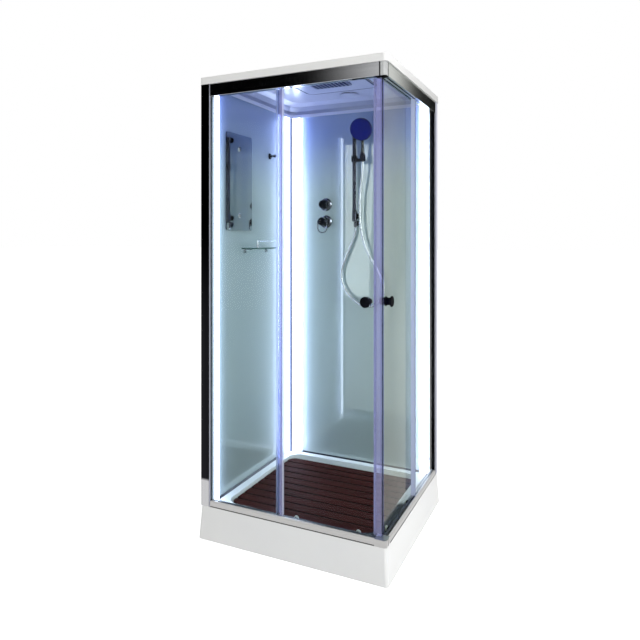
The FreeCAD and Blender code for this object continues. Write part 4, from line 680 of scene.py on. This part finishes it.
def makeFloor():
    mesh = bpy.data.meshes.new("studioFloor")
    shape = bmesh.new()
    bmesh.ops.create_grid(shape, x_segments=1, y_segments=1, size=studio["floorHalf"])
    shape.to_mesh(mesh)
    shape.free()
    floor = bpy.data.objects.new("studioFloor", mesh)
    bpy.context.scene.collection.objects.link(floor)
    material, tree, shader = newMaterial("paintedFloor", {
        "Base Color": studio["floorColour"], "Roughness": 0.9, "Specular IOR Level": 0.1})
    path = addNode(tree, "ShaderNodeLightPath")
    glow = addNode(tree, "ShaderNodeMath", {0: path.outputs["Is Camera Ray"], 1: studio["floorGlow"]},
                   operation="MULTIPLY")
    light = addNode(tree, "ShaderNodeEmission", {"Color": (1, 1, 1, 1), "Strength": glow.outputs[0]})
    total = addNode(tree, "ShaderNodeAddShader", {0: shader.outputs[0], 1: light.outputs[0]})
    # in polished metal and glass the floor is as white as the surround, so they show no horizon
    mirrored = addNode(tree, "ShaderNodeMath", {0: path.outputs["Is Glossy Ray"],
                                                1: path.outputs["Is Transmission Ray"]}, operation="MAXIMUM")
    white = addNode(tree, "ShaderNodeEmission", {"Color": (1, 1, 1, 1), "Strength": 1.0})
    blendShaders(tree, mirrored.outputs[0], total, white)
    mesh.materials.append(material)


def makeWorld():
    world = bpy.data.worlds.new("whiteStudio")
    bpy.context.scene.world = world
    world.use_nodes = True
    tree = world.node_tree
    tree.nodes.clear()
    path = addNode(tree, "ShaderNodeLightPath")
    direct = addNode(tree, "ShaderNodeMath", {0: path.outputs["Is Camera Ray"],
                                              1: path.outputs["Is Glossy Ray"]}, operation="MAXIMUM")
    seen = addNode(tree, "ShaderNodeMath", {0: direct.outputs[0], 1: path.outputs["Is Transmission Ray"]},
                   operation="MAXIMUM")
    white = addNode(tree, "ShaderNodeBackground", {"Color": (1, 1, 1, 1), "Strength": 1.0})
    soft = addNode(tree, "ShaderNodeBackground", {"Color": linear(studio["ambientColour"]),
                                                  "Strength": studio["ambient"]})
    mix = addNode(tree, "ShaderNodeMixShader", {0: seen.outputs[0], 1: soft.outputs[0], 2: white.outputs[0]})
    addNode(tree, "ShaderNodeOutputWorld", {"Surface": mix.outputs[0]})


lamps = {  # place, aim, width, height, power in watts, colour
    "rightSoftbox": ((3.6, -1.2, 2.2), (0, 0, 0.9), 1.6, 2.2, 95, "FFFFFF"),
    "leftSoftbox": ((-2.0, -3.6, 1.6), (0, 0, 0.8), 1.4, 2.0, 25, "FFFFFF"),
    "topSoftbox": ((0.4, -0.8, 4.2), (0, 0, 0), 2.6, 2.6, 50, "FFFFFF"),
}
# black cards that only polished metal and glass mirror: centre, turn about Z, width, height, and where
# along the card its black starts to thin out and where it ends
cards = {
    "leftCard": ((-2.6, -3.95, 1.8), -20, 4.4, 5.2, 1.0, 2.1),
    "rearCard": ((0.25, 4.0, 1.9), 0, 3.2, 5.6, 1.25, 1.55),
}
cardFoot = {"from": -0.2, "to": -1.8}  # downwards from a card's middle, its black thins out too
# light that the diffusers' legs throw along the walls: the strips' places and the wall spots they aim at
wallGlow = {"height": 1.94, "middle": 1.14, "width": 0.012, "power": 1.7, "colour": "CBD6FF",
            "strips": [((-0.398, -0.362), (-0.418, -0.322)), ((-0.398, 0.333), (-0.418, 0.293)),
                       ((-0.333, 0.398), (-0.293, 0.418)), ((0.362, 0.398), (0.322, 0.418))]}


def makeLamp(name, place, aim, width, height, power, colour):
    data = bpy.data.lights.new(name, "AREA")
    data.shape = "RECTANGLE"
    data.size, data.size_y = width, height
    data.energy = power
    data.color = linear(colour)[:3]
    obj = bpy.data.objects.new(name, data)
    obj.location = place
    obj.rotation_euler = (Vector(aim) - Vector(place)).to_track_quat("-Z", "Y").to_euler()
    obj.visible_glossy = False
    bpy.context.scene.collection.objects.link(obj)


def makeWallGlow():
    middle = wallGlow["middle"]
    for number, (place, aim) in enumerate(wallGlow["strips"], 1):
        makeLamp("stripGlow%d" % number, (*place, middle), (*aim, middle), wallGlow["width"],
                 wallGlow["height"], wallGlow["power"], wallGlow["colour"])


def makeCard(name, centre, turn, width, height, fadeFrom, fadeTo):
    mesh = bpy.data.meshes.new(name)
    corners = [(-width / 2, 0, -height / 2), (width / 2, 0, -height / 2), (width / 2, 0, height / 2),
               (-width / 2, 0, height / 2)]
    mesh.from_pydata(corners, [], [(0, 1, 2, 3)])
    card = bpy.data.objects.new(name, mesh)
    card.location = centre
    card.rotation_euler = (0, 0, math.radians(turn))
    material, tree, shader = newMaterial(name + "Felt", {
        "Base Color": "050506", "Roughness": 1.0, "Specular IOR Level": 0.0})
    split = objectPlace(tree)
    thin = addNode(tree, "ShaderNodeMapRange", {"Value": split.outputs["X"], "From Min": fadeFrom,
                                                "From Max": fadeTo}, interpolation_type="SMOOTHSTEP")
    foot = addNode(tree, "ShaderNodeMapRange", {"Value": split.outputs["Z"], "From Min": cardFoot["from"],
                                                "From Max": cardFoot["to"]},
                   interpolation_type="SMOOTHSTEP")
    gone = addNode(tree, "ShaderNodeMath", {0: thin.outputs["Result"], 1: foot.outputs["Result"]},
                   operation="MAXIMUM")
    clear = addNode(tree, "ShaderNodeBsdfTransparent")
    blendShaders(tree, gone.outputs[0], shader, clear)
    mesh.materials.append(material)
    bpy.context.scene.collection.objects.link(card)
    card.visible_camera = card.visible_diffuse = card.visible_transmission = card.visible_shadow = False


makeFloor()
makeWorld()
for lampName, values in lamps.items():
    makeLamp(lampName, *values)
makeWallGlow()
for cardName, values in cards.items():
    makeCard(cardName, *values)
bpy.context.scene.view_settings.view_transform = "Standard"
print("studio made")
